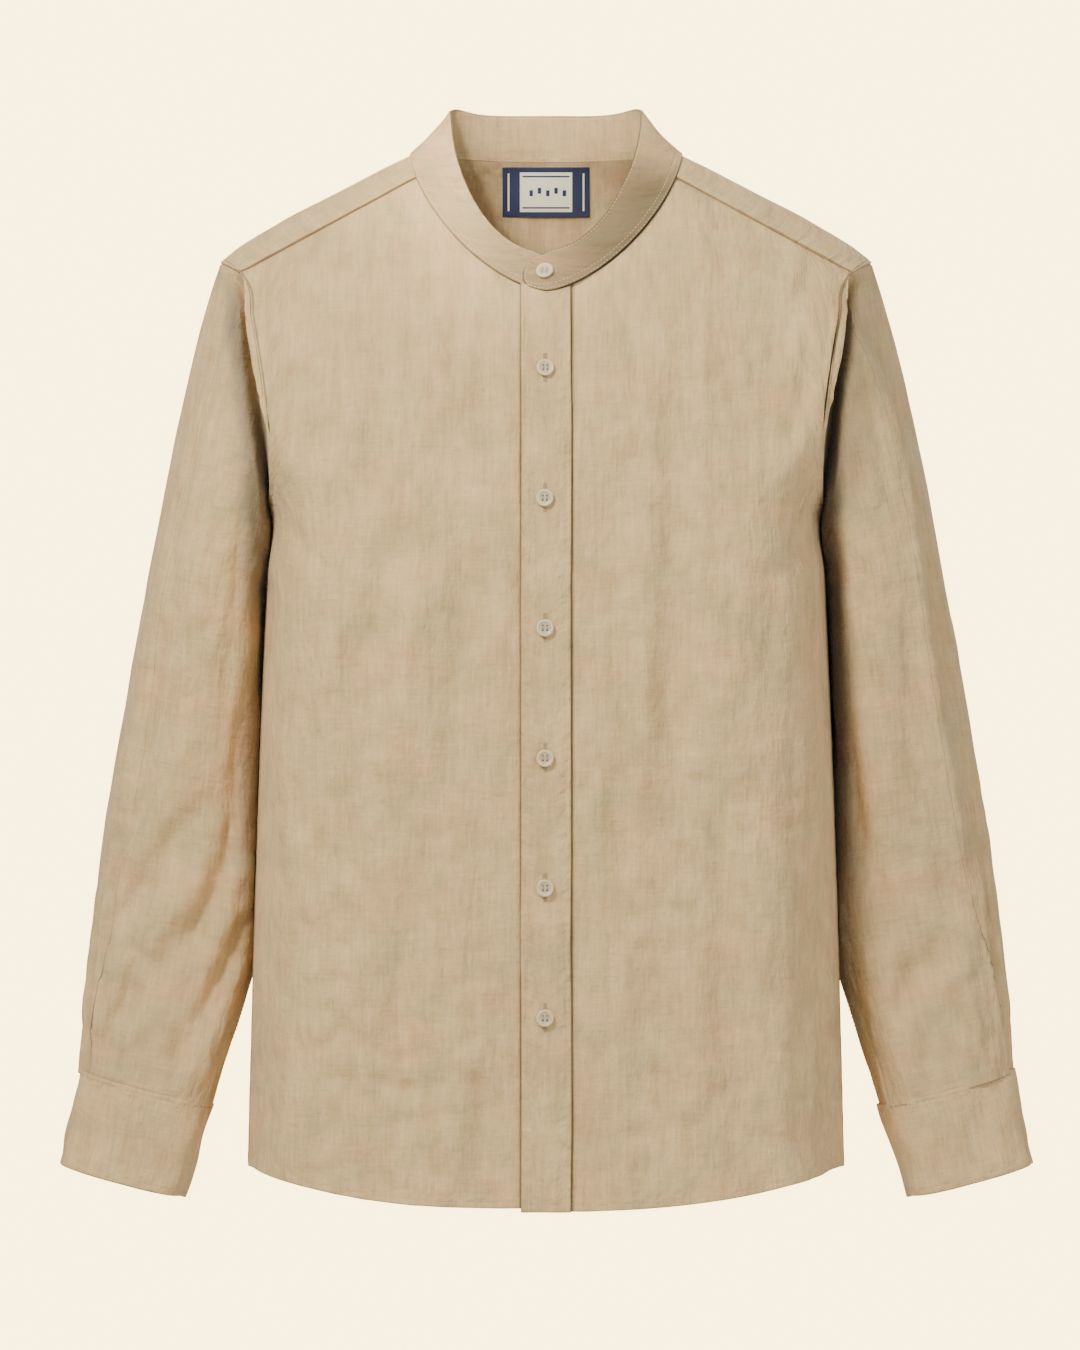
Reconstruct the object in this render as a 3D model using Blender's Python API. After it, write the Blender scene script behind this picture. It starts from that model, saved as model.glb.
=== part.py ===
"""Mandarin collar linen shirt, filled out as if worn and open at neck, hem and cuffs.

Metres, +Z up. The wearer's front faces -Y and the wearer's left is +X. The origin is the
middle of the neck, level with the two points where the shoulders meet the collar band.
Every cloth piece is a thin wall whose points come from the garment's section tables.
"""

import math
from collections import namedtuple

import bpy
import numpy as np

# ---------------------------------------------------------------- driving sizes
CLOTH = 0.0014
BAND_CLOTH = 0.0018
LABEL_CLOTH = 0.0008
SEAM_GAP = 0.0003
BAND_SEAM_GAP = 0.0008
LAP = CLOTH + SEAM_GAP

# Plan of the body: a gently curved front and back, and round corners at the sides.
PLAN_HALF_WIDTH = 0.262
PLAN_POWER = 3.0
FRONT_CORNER = 0.052
BACK_CORNER = 0.085
SHOULDER_ROUND_HEIGHT = 0.060
SHOULDER_ROUND_POWER = 1.7
YOKE_DROP_SCALE = 0.06

# Neckline: an oval seen from the front, from the high shoulder points down to the centre.
NECK_HALF_WIDTH = 0.095
NECK_FRONT_DROP = 0.097
NECK_BACK_DROP = 0.004
NECK_POWER = 1.55

# Top edge of the collar band.
BAND_TOP_HALF_WIDTH = 0.067
BAND_TOP_SIDE_Z = 0.0315
BAND_TOP_BACK_Z = 0.0277
BAND_TOP_FRONT_Z = -0.070
BAND_TOP_FRONT_Y = -0.050
BAND_TOP_BACK_Y = 0.032
BAND_TOP_POWER = 1.9
BAND_HOLLOW = 0.0012

# The band's upper end stands off the lower one, and eases down to it past this place.
BAND_LAP_START_X = 0.016
BAND_LAP_EASE = 0.024

# Outline of the band's ends, as share of its height and x: the upper one is rounded.
BAND_OVER_END = ((0.0, -0.0130), (0.15, -0.0160), (0.5, -0.0165), (0.8, -0.0115), (1.0, -0.002))
BAND_UNDER_END = ((0.0, -0.0120), (0.2, -0.0140), (0.6, -0.0140), (1.0, -0.0100))

# Centre front: the button strip and the lap of one front over the other.
STRIP_LEFT_X = -0.0178
STRIP_RIGHT_X = 0.0178
LAP_END_X = 0.034

# Upright lines that both fronts and the button strip share.
STRIP_LINES = (STRIP_LEFT_X, 0.0, STRIP_RIGHT_X, LAP_END_X)

# Shoulder seams of the yoke.
YOKE_SEAM_NECK_X = 0.090
YOKE_SEAM_NECK_Z = -0.015
YOKE_BACK_Z = -0.1025

# Armhole: a ring whose front view is given by the table below.
ARMHOLE_TOP_Z = -0.0767
ARMHOLE_BOTTOM_Z = -0.250
FRONT_SEAM_TURN = 24.0
BACK_SEAM_TURN = 45.0

# Hem, seen from the front: nearly straight at the sides, lowest at the centre.
HEM_HALF_WIDTH = 0.211
HEM_POWER = 2.9
HEM_SIDE_Z = -0.7175
HEM_CENTRE_Z = -0.7475
STRIP_HEM_Z = -0.7500

CUFF_CLEARANCE = 0.0004
CUFF_LAP_START = 205.0
CUFF_LAP_END = 240.0
CUFF_LAP_SHARE = 0.84
CUFF_LAP_EASE = 0.06
SLEEVE_CLEARANCE = 0.0018
SLEEVE_CLEARANCE_DROP = 0.012
CAP_LENGTH = 0.15

BUTTON_RADIUS = 0.0062
BUTTON_THICKNESS = 0.0024
BUTTON_LIFT = 0.0008
BUTTON_SIDES = 14
BUTTON_X = -0.0007
COLLAR_BUTTON_Z = -0.0838
FRONT_BUTTON_TOP_Z = -0.1520
FRONT_BUTTON_STEP = 0.0920
FRONT_BUTTON_COUNT = 6
CUFF_BUTTON_TURN = 226.0

LABEL_LIFT = 0.0008
LABEL_HALF_WIDTH = 0.031
LABEL_TOP_Z = -0.0095
LABEL_BOTTOM_Z = -0.0445

# ---------------------------------------------------------------- section tables
Section = namedtuple("Section", "z half_width middle_y front_depth back_depth")
BODY_SECTIONS = (
    Section(0.060, 0.262, 0.000, 0.010, 0.020),
    Section(0.000, 0.262, 0.000, 0.023, 0.042),
    Section(-0.020, 0.262, 0.000, 0.034, 0.056),
    Section(-0.060, 0.262, 0.000, 0.053, 0.082),
    Section(-0.100, 0.260, -0.001, 0.069, 0.103),
    Section(-0.150, 0.252, -0.003, 0.0860, 0.121),
    Section(-0.185, 0.240, -0.005, 0.0925, 0.129),
    Section(-0.215, 0.220, -0.007, 0.0955, 0.134),
    Section(-0.235, 0.204, -0.0085, 0.0965, 0.1365),
    Section(-0.250, 0.1965, -0.0095, 0.0971, 0.1375),
    Section(-0.300, 0.1975, -0.0120, 0.0980, 0.1375),
    Section(-0.360, 0.1998, -0.0130, 0.0980, 0.1350),
    Section(-0.400, 0.2015, -0.0130, 0.0975, 0.1320),
    Section(-0.530, 0.2060, -0.0130, 0.0950, 0.1240),
    Section(-0.650, 0.2095, -0.0130, 0.0950, 0.1220),
    Section(-0.760, 0.2120, -0.0130, 0.0970, 0.1240),
)

Ridge = namedtuple("Ridge", "x z")
SHOULDER_LINE = (
    Ridge(0.000, 0.054),
    Ridge(0.060, 0.020),
    Ridge(0.095, 0.000),
    Ridge(0.1136, -0.0090),
    Ridge(0.1455, -0.0256),
    Ridge(0.1880, -0.0476),
    Ridge(0.2094, -0.0604),
    Ridge(0.2201, -0.0674),
    Ridge(0.2308, -0.0767),
)

Edge = namedtuple("Edge", "z x")
ARMHOLE_FRONT = (
    Edge(-0.0767, 0.2308),
    Edge(-0.0830, 0.2190),
    Edge(-0.0880, 0.2145),
    Edge(-0.1160, 0.2085),
    Edge(-0.1490, 0.2030),
    Edge(-0.1810, 0.1992),
    Edge(-0.2150, 0.1963),
    Edge(-0.2350, 0.1958),
    Edge(-0.2500, 0.1965),
)
ARMHOLE_BACK = (
    Edge(-0.0767, 0.2308),
    Edge(-0.0860, 0.2240),
    Edge(-0.1025, 0.2180),
    Edge(-0.1400, 0.2095),
    Edge(-0.1800, 0.2030),
    Edge(-0.2200, 0.1975),
    Edge(-0.2500, 0.1965),
)

Loop = namedtuple("Loop", "along x y z half_width front_depth back_depth tilt squareness")
SLEEVE_LOOPS = (
    Loop(0.000, 0.2378, 0.020, -0.3000, 0.0442, 0.066, 0.074, 11.0, 2.2),
    Loop(0.132, 0.2505, 0.026, -0.4300, 0.0545, 0.058, 0.066, 10.5, 2.2),
    Loop(0.244, 0.2610, 0.024, -0.5410, 0.0610, 0.047, 0.054, 10.5, 2.3),
    Loop(0.306, 0.2725, 0.018, -0.6010, 0.0562, 0.041, 0.045, 12.5, 2.4),
    Loop(0.346, 0.2803, 0.014, -0.6400, 0.0515, 0.037, 0.040, 14.2, 2.4),
    Loop(0.366, 0.2843, 0.012, -0.6600, 0.0486, 0.0276, 0.0296, 14.8, 2.5),
)
CUFF_LOOPS = (
    Loop(0.000, 0.2844, 0.012, -0.6605, 0.0490, 0.028, 0.030, 14.8, 2.5),
    Loop(0.069, 0.3026, 0.010, -0.7278, 0.0453, 0.027, 0.029, 15.0, 2.5),
)

# The way the sleeve leaves the armhole at its top, front, underarm and back.
Leave = namedtuple("Leave", "turn x y z")
SLEEVE_LEAVES = (
    Leave(0.0, 0.30, 0.00, -0.95),
    Leave(90.0, 0.55, 0.62, -0.55),
    Leave(180.0, 0.42, 0.25, -0.86),
    Leave(270.0, 0.62, -0.10, -0.78),
    Leave(360.0, 0.30, 0.00, -0.95),
)

# Soft troughs in the body cloth, each along a line from top to bottom; depth < 0 is a ridge.
Trough = namedtuple("Trough", "x_top z_top x_bottom z_bottom width depth")
FRONT_TROUGHS = (
    Trough(-0.100, -0.230, -0.128, -0.470, 0.020, 0.0030),
    Trough(-0.062, -0.260, -0.060, -0.560, 0.026, -0.0022),
    Trough(-0.150, -0.420, -0.160, -0.690, 0.024, 0.0024),
    Trough(0.075, -0.200, 0.098, -0.520, 0.022, 0.0028),
    Trough(0.040, -0.300, 0.052, -0.560, 0.022, -0.0020),
    Trough(0.150, -0.360, 0.158, -0.680, 0.026, 0.0022),
    Trough(0.186, -0.105, 0.180, -0.200, 0.012, 0.0028),
    Trough(-0.188, -0.105, -0.182, -0.190, 0.012, 0.0028),
    Trough(-0.030, -0.130, -0.050, -0.260, 0.014, 0.0018),
)
BACK_TROUGHS = (
    Trough(-0.060, -0.180, -0.085, -0.560, 0.026, 0.0030),
    Trough(0.070, -0.200, 0.060, -0.620, 0.028, 0.0028),
    Trough(0.000, -0.260, 0.012, -0.660, 0.024, -0.0024),
    Trough(-0.130, -0.320, -0.140, -0.680, 0.026, 0.0024),
    Trough(0.135, -0.300, 0.150, -0.640, 0.024, 0.0026),
)

# Long soft folds down the sleeve: turn round the arm, and where along it they run.
Fold = namedtuple("Fold", "turn start end width depth")
SLEEVE_FOLDS = (
    Fold(42.0, -0.10, 0.26, 11.0, 0.0030),
    Fold(70.0, 0.06, 0.40, 10.0, 0.0034),
    Fold(105.0, 0.02, 0.36, 12.0, 0.0030),
    Fold(22.0, 0.24, 0.42, 7.0, 0.0034),
    Fold(240.0, 0.02, 0.36, 12.0, 0.0032),
    Fold(290.0, -0.06, 0.30, 13.0, 0.0032),
)

Finish = namedtuple("Finish", "colour roughness")
LINEN = Finish((0.61, 0.46, 0.31, 1.0), 0.9)
LINEN_PRESSED = Finish((0.58, 0.43, 0.29, 1.0), 0.88)
BUTTON_FINISH = Finish((0.74, 0.66, 0.52, 1.0), 0.4)
LABEL_FINISH = Finish((0.03, 0.04, 0.09, 1.0), 0.75)

# Small steps from which the body's normals are taken.
STEP_ACROSS = 0.0004
STEP_OVER = 0.008

# Mesh steps.
FRONT_NECK_STEPS = 5
LOWER_STEPS = 10
BACK_HALF_STEPS = 10
FRONT_YOKE_STEPS = 2
BACK_YOKE_STEPS = 3
FRONT_ARMHOLE_STEPS = 10
BACK_ARMHOLE_STEPS = 9
YOKE_SEAM_STEPS = 6
YOKE_NECK_STEPS = 7
CAP_STEPS = 6
ARM_STEPS = 10
BAND_END_STEPS = 4
BAND_RISE_STEPS = 5
CUFF_STEPS = 30
CUFF_RISE_STEPS = 2


# ---------------------------------------------------------------- reading the tables
def smooth(rows, key, column, at):
    """A smooth curve through one column of a table, read at the values given."""
    ordered = sorted(rows, key=lambda row: getattr(row, key))
    places = np.array([getattr(row, key) for row in ordered])
    values = np.array([getattr(row, column) for row in ordered])
    slopes = np.gradient(values, places)
    at = np.clip(np.asarray(at, float), places[0], places[-1])
    low = np.clip(np.searchsorted(places, at, side="right") - 1, 0, len(places) - 2)
    span = places[low + 1] - places[low]
    t = (at - places[low]) / span
    start = values[low] * (1 + 2 * t) * (1 - t) ** 2
    end = values[low + 1] * t * t * (3 - 2 * t)
    bend = span * (slopes[low] * t * (1 - t) ** 2 + slopes[low + 1] * t * t * (t - 1))
    return start + end + bend


def body(column, z):
    return smooth(BODY_SECTIONS, "z", column, z)


def ridge_z(x):
    return smooth(SHOULDER_LINE, "x", "z", np.abs(x))


def eased(value):
    value = np.clip(value, 0.0, 1.0)
    return value * value * (3 - 2 * value)


def unit(vectors):
    return vectors / np.linalg.norm(vectors, axis=-1, keepdims=True)


# ---------------------------------------------------------------- the body's form
def shoulder_share(drop):
    """How much of the body's depth there is at this drop below the shoulder line."""
    rest = 1 - np.clip(drop / SHOULDER_ROUND_HEIGHT, 0.0, 1.0)
    return (1 - rest**SHOULDER_ROUND_POWER) ** (1 / SHOULDER_ROUND_POWER)


def plan_share(x):
    return (1 - np.clip(np.abs(x) / PLAN_HALF_WIDTH, 0.0, 1.0) ** PLAN_POWER) ** (1 / PLAN_POWER)


def body_y(x, z, side):
    """The y of the body's outer surface; side is -1 in front and 1 behind."""
    depth = body("front_depth" if side < 0 else "back_depth", z)
    corner = FRONT_CORNER if side < 0 else BACK_CORNER
    into = np.clip((np.abs(x) - body("half_width", z)) / corner + 1, 0.0, 1.0)
    section = plan_share(x) * np.sqrt(1 - into * into)
    return body("middle_y", z) + side * depth * section * shoulder_share(ridge_z(x) - z)


def trough_depth(troughs, x, z):
    """How far the soft folds press the cloth in at each point of the front view."""
    pressed = np.zeros(np.broadcast(x, z).shape)
    for trough in troughs:
        along = (trough.z_top - z) / (trough.z_top - trough.z_bottom)
        middle = trough.x_top + (trough.x_bottom - trough.x_top) * along
        ends = np.clip(np.sin(np.pi * np.clip(along, 0.0, 1.0)), 0.0, 1.0)
        pressed += trough.depth * ends * np.exp(-(((x - middle) / trough.width) ** 2))
    return pressed


def body_points(x, z, side):
    y = body_y(x, z, side)
    troughs = FRONT_TROUGHS if side < 0 else BACK_TROUGHS
    y = y - side * trough_depth(troughs, x, z) * shoulder_share(ridge_z(x) - z)
    return np.stack(np.broadcast_arrays(x, y, z), axis=-1)


def neck_front_z(x):
    share = np.clip(np.abs(x) / NECK_HALF_WIDTH, 0.0, 1.0)
    return -NECK_FRONT_DROP * (1 - share**NECK_POWER) ** (1 / NECK_POWER)


def yoke_seam_z(x):
    """Height of the yoke's front seam: straight in the front view, neck to armhole."""
    end_z = ring_z(FRONT_SEAM_TURN)
    slope = (end_z - YOKE_SEAM_NECK_Z) / (armhole_x(end_z, -1) - YOKE_SEAM_NECK_X)
    return YOKE_SEAM_NECK_Z + slope * (np.abs(x) - YOKE_SEAM_NECK_X)


def front_top_z(x):
    """Top edge of a front: the neckline, then the yoke seam."""
    return np.minimum(neck_front_z(x), yoke_seam_z(x))


def hem_z(x):
    share = np.clip(np.abs(x) / HEM_HALF_WIDTH, 0.0, 1.0)
    return HEM_CENTRE_Z + (HEM_SIDE_Z - HEM_CENTRE_Z) * share**HEM_POWER


def over_shoulder(x, q):
    """A point by its x and its way over the shoulder: 0 on the ridge, below 0 in front."""
    z = ridge_z(x) - YOKE_DROP_SCALE * q * q
    front = body_y(x, z, -1)
    back = body_y(x, z, 1)
    return np.stack([x, np.where(q < 0, front, back), z], axis=-1)


def way_over(x, z, side):
    return side * np.sqrt(np.maximum(ridge_z(x) - z, 0.0) / YOKE_DROP_SCALE)


def form_normal(x, z, side):
    """The way the body's outer surface faces, from small steps across and over it."""
    q = way_over(x, z, side)
    inward = np.where(x < 0, -STEP_ACROSS, STEP_ACROSS)
    across = (over_shoulder(x, q) - over_shoulder(x - inward, q)) * np.sign(inward)[..., None]
    along = over_shoulder(x, q + STEP_OVER) - over_shoulder(x, q - STEP_OVER)
    return unit(np.cross(across, along))


# ---------------------------------------------------------------- the armhole ring
def ring_z(turn):
    middle = (ARMHOLE_TOP_Z + ARMHOLE_BOTTOM_Z) / 2
    reach = (ARMHOLE_TOP_Z - ARMHOLE_BOTTOM_Z) / 2
    return middle + reach * np.cos(np.radians(turn))


def ring_turns(side):
    """Turns round the armhole from its top to the underarm, in front or behind."""
    seam = FRONT_SEAM_TURN if side < 0 else BACK_SEAM_TURN
    over = FRONT_YOKE_STEPS if side < 0 else BACK_YOKE_STEPS
    down = FRONT_ARMHOLE_STEPS if side < 0 else BACK_ARMHOLE_STEPS
    upper = np.linspace(0.0, seam, over + 1)
    lower = np.linspace(seam, 180.0, down + 1)
    return upper, lower


def armhole_x(z, side):
    table = ARMHOLE_FRONT if side < 0 else ARMHOLE_BACK
    return smooth(table, "z", "x", z)


def side_x(z, side):
    """The edge of a front or back, seen from the front: the armhole, then the side seam."""
    return np.where(z > ARMHOLE_BOTTOM_Z, armhole_x(z, side), body("half_width", z))


# ---------------------------------------------------------------- fronts and back
def panel_rows(side):
    """Share of the way down for each row: top edge to underarm, then underarm to hem."""
    turns = ring_turns(side)[1]
    zs = ring_z(turns)
    upper = (zs - zs[0]) / (zs[-1] - zs[0])
    lower = np.linspace(0.0, 1.0, LOWER_STEPS + 1)[1:]
    return upper, lower


def panel_z(x, top, side):
    """Heights down one column of a panel whose top edge is at the height given."""
    upper, lower = panel_rows(side)
    under = np.full_like(x, ARMHOLE_BOTTOM_Z)
    first = top + (under - top) * upper[:, None]
    second = under + (hem_z(x) - under) * lower[:, None]
    return np.concatenate([first, second])


def spread_x(start, share, z, side):
    """Places across a panel, closer together as the cloth turns the corner to the side."""
    half = body("half_width", z)
    edge = np.clip(side_x(z, side) / half, -1.0, 1.0)
    begin = np.arcsin(np.clip(start / half, -1.0, 1.0))
    return half * np.sin(begin + (np.arcsin(edge) - begin) * share)


def front_top_x():
    """Places along a front's top edge: the lap, the rest of the neckline, the yoke seam."""
    corner = neck_corner_turn()
    neck = np.linspace(turn_at_x(LAP_END_X), corner, FRONT_NECK_STEPS + 1)[1:]
    neck_x = neckline(neck)[0]
    edge = armhole_x(ring_z(FRONT_SEAM_TURN), -1)
    seam_x = np.linspace(neck_x[-1], edge, YOKE_SEAM_STEPS + 1)[1:]
    return np.concatenate([STRIP_LINES, neck_x, seam_x])


def front_grid():
    """Places of a front's outer points: rows from the top down, columns outward."""
    top_x = front_top_x()
    fixed = len(STRIP_LINES)
    shares = np.linspace(0.0, 1.0, len(top_x) - fixed + 1)[1:] ** 0.9
    top = front_top_z(top_x) - SEAM_GAP / 2
    upper, lower = panel_rows(-1)
    away = np.concatenate([eased(upper * 1.2), np.ones(len(lower))])[:, None]
    grid_z = panel_z(top_x, top, -1)
    grid_x = np.repeat(top_x[None, :], len(away), axis=0)
    for _ in range(4):
        spread = spread_x(STRIP_LINES[-1], shares[None, :], grid_z[:, fixed:], -1)
        grid_x[:, fixed:] = top_x[fixed:] + (spread - top_x[fixed:]) * away
        grid_x[:, -1] = side_x(grid_z[:, -1], -1)
        grid_z = panel_z(grid_x[-1], top, -1)
    return grid_x, grid_z


def back_grid():
    shares = np.linspace(0.0, 1.0, BACK_HALF_STEPS + 1)
    rows = len(panel_rows(1)[0]) + LOWER_STEPS
    grid_x = np.repeat(0.2 * shares[None, :], rows, axis=0)
    grid_z = np.zeros_like(grid_x)
    for _ in range(12):
        top = np.full(len(shares), YOKE_BACK_Z - SEAM_GAP / 2)
        grid_z = panel_z(grid_x[-1], top, 1)
        grid_x = spread_x(0.0, shares[None, :], grid_z, 1)
    left = np.concatenate([-grid_x[:, :0:-1], grid_x], axis=1)
    return left, np.concatenate([grid_z[:, :0:-1], grid_z], axis=1)


def seam_normals(normals, points):
    """Below the underarm a panel's side edge faces straight out, as its neighbour's does."""
    for column in (0, -1):
        x = points[:, column, 0]
        z = points[:, column, 2]
        outer = np.abs(x) > NECK_HALF_WIDTH
        below = (z <= ARMHOLE_BOTTOM_Z) & outer
        above = (z > ARMHOLE_BOTTOM_Z) & outer
        normals[below, column] = np.stack([np.sign(x), 0 * x, 0 * x], axis=-1)[below]
        if above.any():
            side = np.sign(np.mean(points[..., 1]))
            normals[above, column] = form_normal(x[above], z[above], side)
    x = points[0, :, 0]
    if np.mean(points[..., 1]) > 0:
        normals[0] = level(normals[0])
    else:
        normals[0] = form_normal(x, points[0, :, 2], -1.0)
    return normals


def level(normals):
    """Turns wall directions level, so that both edges of a level seam are parallel."""
    return unit(normals * np.array([1.0, 1.0, 0.0]))


def lap_offset(x):
    """How far the upper front stands off the one below it, from the centre outwards."""
    return LAP * (1 - eased((x - STRIP_RIGHT_X) / (LAP_END_X - STRIP_RIGHT_X)))


def build_fronts():
    x, z = front_grid()
    points = body_points(x, z, -1)
    points[:, -1, 1] -= SEAM_GAP / 2
    normals = seam_normals(grid_normals(points), points)
    points[..., 1] -= lap_offset(x) / np.maximum(np.abs(normals[..., 1]), 0.5)
    wall("front_left", points, normals, CLOTH, LINEN)
    strip = slice(0, 3)
    strip_out = points[:, strip].copy()
    strip_out[..., 1] -= (SEAM_GAP + CLOTH) / np.abs(normals[:, strip, 1])
    strip_out[-1, :, 2] = STRIP_HEM_Z
    wall("placket", strip_out, normals[:, strip], CLOTH, LINEN_PRESSED)
    points = body_points(-x, z, -1)
    points[:, -1, 1] -= SEAM_GAP / 2
    normals = seam_normals(-grid_normals(points), points)
    wall("front_right", points, normals, CLOTH, LINEN)
    return strip_out


def build_back():
    x, z = back_grid()
    points = body_points(x, z, 1)
    points[:, 0, 1] += SEAM_GAP / 2
    points[:, -1, 1] += SEAM_GAP / 2
    normals = seam_normals(-grid_normals(points), points)
    wall("back", points, normals, CLOTH, LINEN)


# ---------------------------------------------------------------- yoke
def neckline(turn):
    """The neck seam, by turn: 0 at the centre back, 90 at the shoulder, 180 in front."""
    angle = np.radians(np.abs(turn))
    front = angle > math.pi / 2
    c = np.sin(angle)
    s = np.abs(np.cos(angle))
    x = np.where(front, NECK_HALF_WIDTH * np.sign(c) * np.abs(c) ** (2 / NECK_POWER), 0.0)
    x = np.where(front, x, NECK_HALF_WIDTH * c)
    z = np.where(front, -NECK_FRONT_DROP * s ** (2 / NECK_POWER), -NECK_BACK_DROP * s * s)
    return np.sign(turn + 1e-9) * x, z, np.where(front, -1.0, 1.0)


def neck_corner_turn():
    """Where the yoke's front seam meets the neckline."""
    low, high = 90.0, 150.0
    for _ in range(40):
        middle = (low + high) / 2
        x, z, _side = neckline(np.array(middle))
        if z > yoke_seam_z(x):
            low = middle
        else:
            high = middle
    return low


def build_yoke():
    front_turns = ring_turns(-1)[0][::-1]
    back_turns = ring_turns(1)[0][1:]
    turns = np.concatenate([front_turns, back_turns])
    sides = np.array([-1.0] * len(front_turns) + [1.0] * len(back_turns))
    edge_z = ring_z(turns)
    edge_x = np.where(sides < 0, armhole_x(edge_z, -1), armhole_x(edge_z, 1))
    edge_q = way_over(edge_x, edge_z, sides)
    edge_x[0] = armhole_x(ring_z(FRONT_SEAM_TURN), -1)
    corner = neck_corner_turn()
    neck_x, neck_z, neck_side = neckline(np.linspace(corner, 0.0, YOKE_NECK_STEPS + 1))
    neck_q = way_over(neck_x, neck_z, neck_side)
    seam_x = np.linspace(edge_x[0], neck_x[0], YOKE_SEAM_STEPS + 1)[:-1]
    seam_q = way_over(seam_x, yoke_seam_z(seam_x), -1.0)
    start = np.stack([np.append(seam_x, neck_x), np.append(seam_q, neck_q)], axis=-1)
    shares = np.concatenate(
        [
            np.linspace(1.0, 0.50, YOKE_SEAM_STEPS + 1)[:-1],
            np.linspace(0.50, 0.0, YOKE_NECK_STEPS + 1),
        ]
    )
    end_x = edge_x[-1] * shares
    end_q = way_over(end_x, np.full_like(end_x, YOKE_BACK_Z), 1.0)
    end = np.stack([end_x, end_q], axis=-1)
    edge = np.stack([edge_x, edge_q], axis=-1)
    way = (edge_q - edge_q[0]) / (edge_q[-1] - edge_q[0])
    straight = edge[0] + (edge[-1] - edge[0]) * way[:, None]
    grid = start[None] + (end - start)[None] * way[:, None, None]
    grid = grid + (edge - straight)[:, None, :] * shares[None, :, None] ** 4
    points = over_shoulder(grid[..., 0], grid[..., 1])
    mirrored = points[:, ::-1] * np.array([-1.0, 1.0, 1.0])
    points = np.concatenate([points, mirrored[:, 1:]], axis=1)
    normals = grid_normals(points)
    ways = np.concatenate([grid[..., 1], grid[:, -2::-1, 1]], axis=1)
    facing = np.where(ways < 0, -1.0, 1.0)
    for edge in ((slice(None), 0), (slice(None), -1), (0, slice(None))):
        normals[edge] = form_normal(points[edge][:, 0], points[edge][:, 2], facing[edge])
    x = points[0, :, 0]
    at_seam = np.abs(x) >= neck_x[0] - SEAM_GAP
    normals[-1] = level(normals[-1])
    points[0, at_seam, 2] += SEAM_GAP / 2
    points[-1, :, 2] += SEAM_GAP / 2
    wall("yoke", points, normals, CLOTH, LINEN)
    return points, normals


def build_label(points, normals):
    """A blank label on the inner face of the yoke, on points read between the yoke's own."""
    middle = points.shape[1] // 2
    inner = points - normals * (CLOTH + SEAM_GAP)
    grid = []
    for z in np.linspace(LABEL_TOP_Z, LABEL_BOTTOM_Z, 4):
        columns = inner[:, middle - 5: middle + 6]
        across = []
        for column in range(columns.shape[1]):
            line = columns[:, column]
            order = np.argsort(line[:, 2])
            across.append([np.interp(z, line[order, 2], line[order, axis]) for axis in range(3)])
        across = np.array(across)
        order = np.argsort(across[:, 0])
        xs = np.linspace(-LABEL_HALF_WIDTH, LABEL_HALF_WIDTH, 5)
        y = np.interp(xs, across[order, 0], across[order, 1])
        grid.append(np.stack([xs, y, np.full_like(xs, z)], axis=-1))
    grid = np.array(grid)
    normals = unit(np.cross(grid[1:, :-1] - grid[:-1, :-1], grid[:-1, 1:] - grid[:-1, :-1]))
    facing = normals.mean(axis=(0, 1))
    facing = facing * -np.sign(facing[1])
    lift = grid - np.array([0.0, LABEL_LIFT, 0.0])
    outer = lift + facing * LABEL_CLOTH
    wall("label", outer, np.broadcast_to(facing, lift.shape), LABEL_CLOTH, LABEL_FINISH)


# ---------------------------------------------------------------- collar band
def band_top(turn):
    angle = np.radians(np.abs(turn))
    front = angle > math.pi / 2
    c = np.sin(angle)
    s = np.abs(np.cos(angle))
    power = 2 / BAND_TOP_POWER
    front_x = BAND_TOP_HALF_WIDTH * np.sign(c) * np.abs(c) ** power
    x = np.where(front, front_x, BAND_TOP_HALF_WIDTH * c)
    front_z = BAND_TOP_SIDE_Z + (BAND_TOP_FRONT_Z - BAND_TOP_SIDE_Z) * s**power
    back_z = BAND_TOP_SIDE_Z + (BAND_TOP_BACK_Z - BAND_TOP_SIDE_Z) * s
    z = np.where(front, front_z, back_z)
    y = np.where(front, BAND_TOP_FRONT_Y * s**power, BAND_TOP_BACK_Y * s)
    return np.stack([np.sign(turn + 1e-9) * x, y, z], axis=-1)


def neck_point(turn):
    x, z, side = neckline(turn)
    front = body_y(x, z, -1)
    back = body_y(x, z, 1)
    return np.stack([x, np.where(side < 0, front, back), z], axis=-1)


def turn_at_x(x):
    """The turn round the neckline at this x in front, past 180 where x is below 0."""
    share = abs(x) / NECK_HALF_WIDTH
    lean = math.degrees(math.asin(share ** (NECK_POWER / 2)))
    return 180.0 - math.copysign(lean, x)


def neck_turns():
    """Turns where the panels' edges have their points, from the lap to the centre back."""
    corner = neck_corner_turn()
    lap = [turn_at_x(x) for x in STRIP_LINES]
    front = np.linspace(lap[-1], corner, FRONT_NECK_STEPS + 1)[1:]
    behind = np.linspace(corner, 0.0, YOKE_NECK_STEPS + 1)[1:]
    return np.concatenate([lap, front, behind])


def band_turns():
    """Turns of the band's columns at each height: its ends are rounded at their corners."""
    rise = np.linspace(0.0, 1.0, BAND_RISE_STEPS + 1)
    over_x = np.interp(rise, *zip(*BAND_OVER_END))
    under_x = np.interp(rise, *zip(*BAND_UNDER_END))
    middle = neck_turns()[2:]
    middle = np.concatenate([middle, -middle[-2::-1]])
    share = np.linspace(0.0, 1.0, BAND_END_STEPS + 1)[:-1]
    rows = []
    for over, under in zip(over_x, under_x):
        first = [turn_at_x(over + (STRIP_RIGHT_X - over) * part) for part in share]
        last = [-turn_at_x(under + (STRIP_RIGHT_X - under) * part) for part in share[::-1]]
        rows.append(np.concatenate([first, middle, last]))
    return np.array(rows), rise


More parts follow.
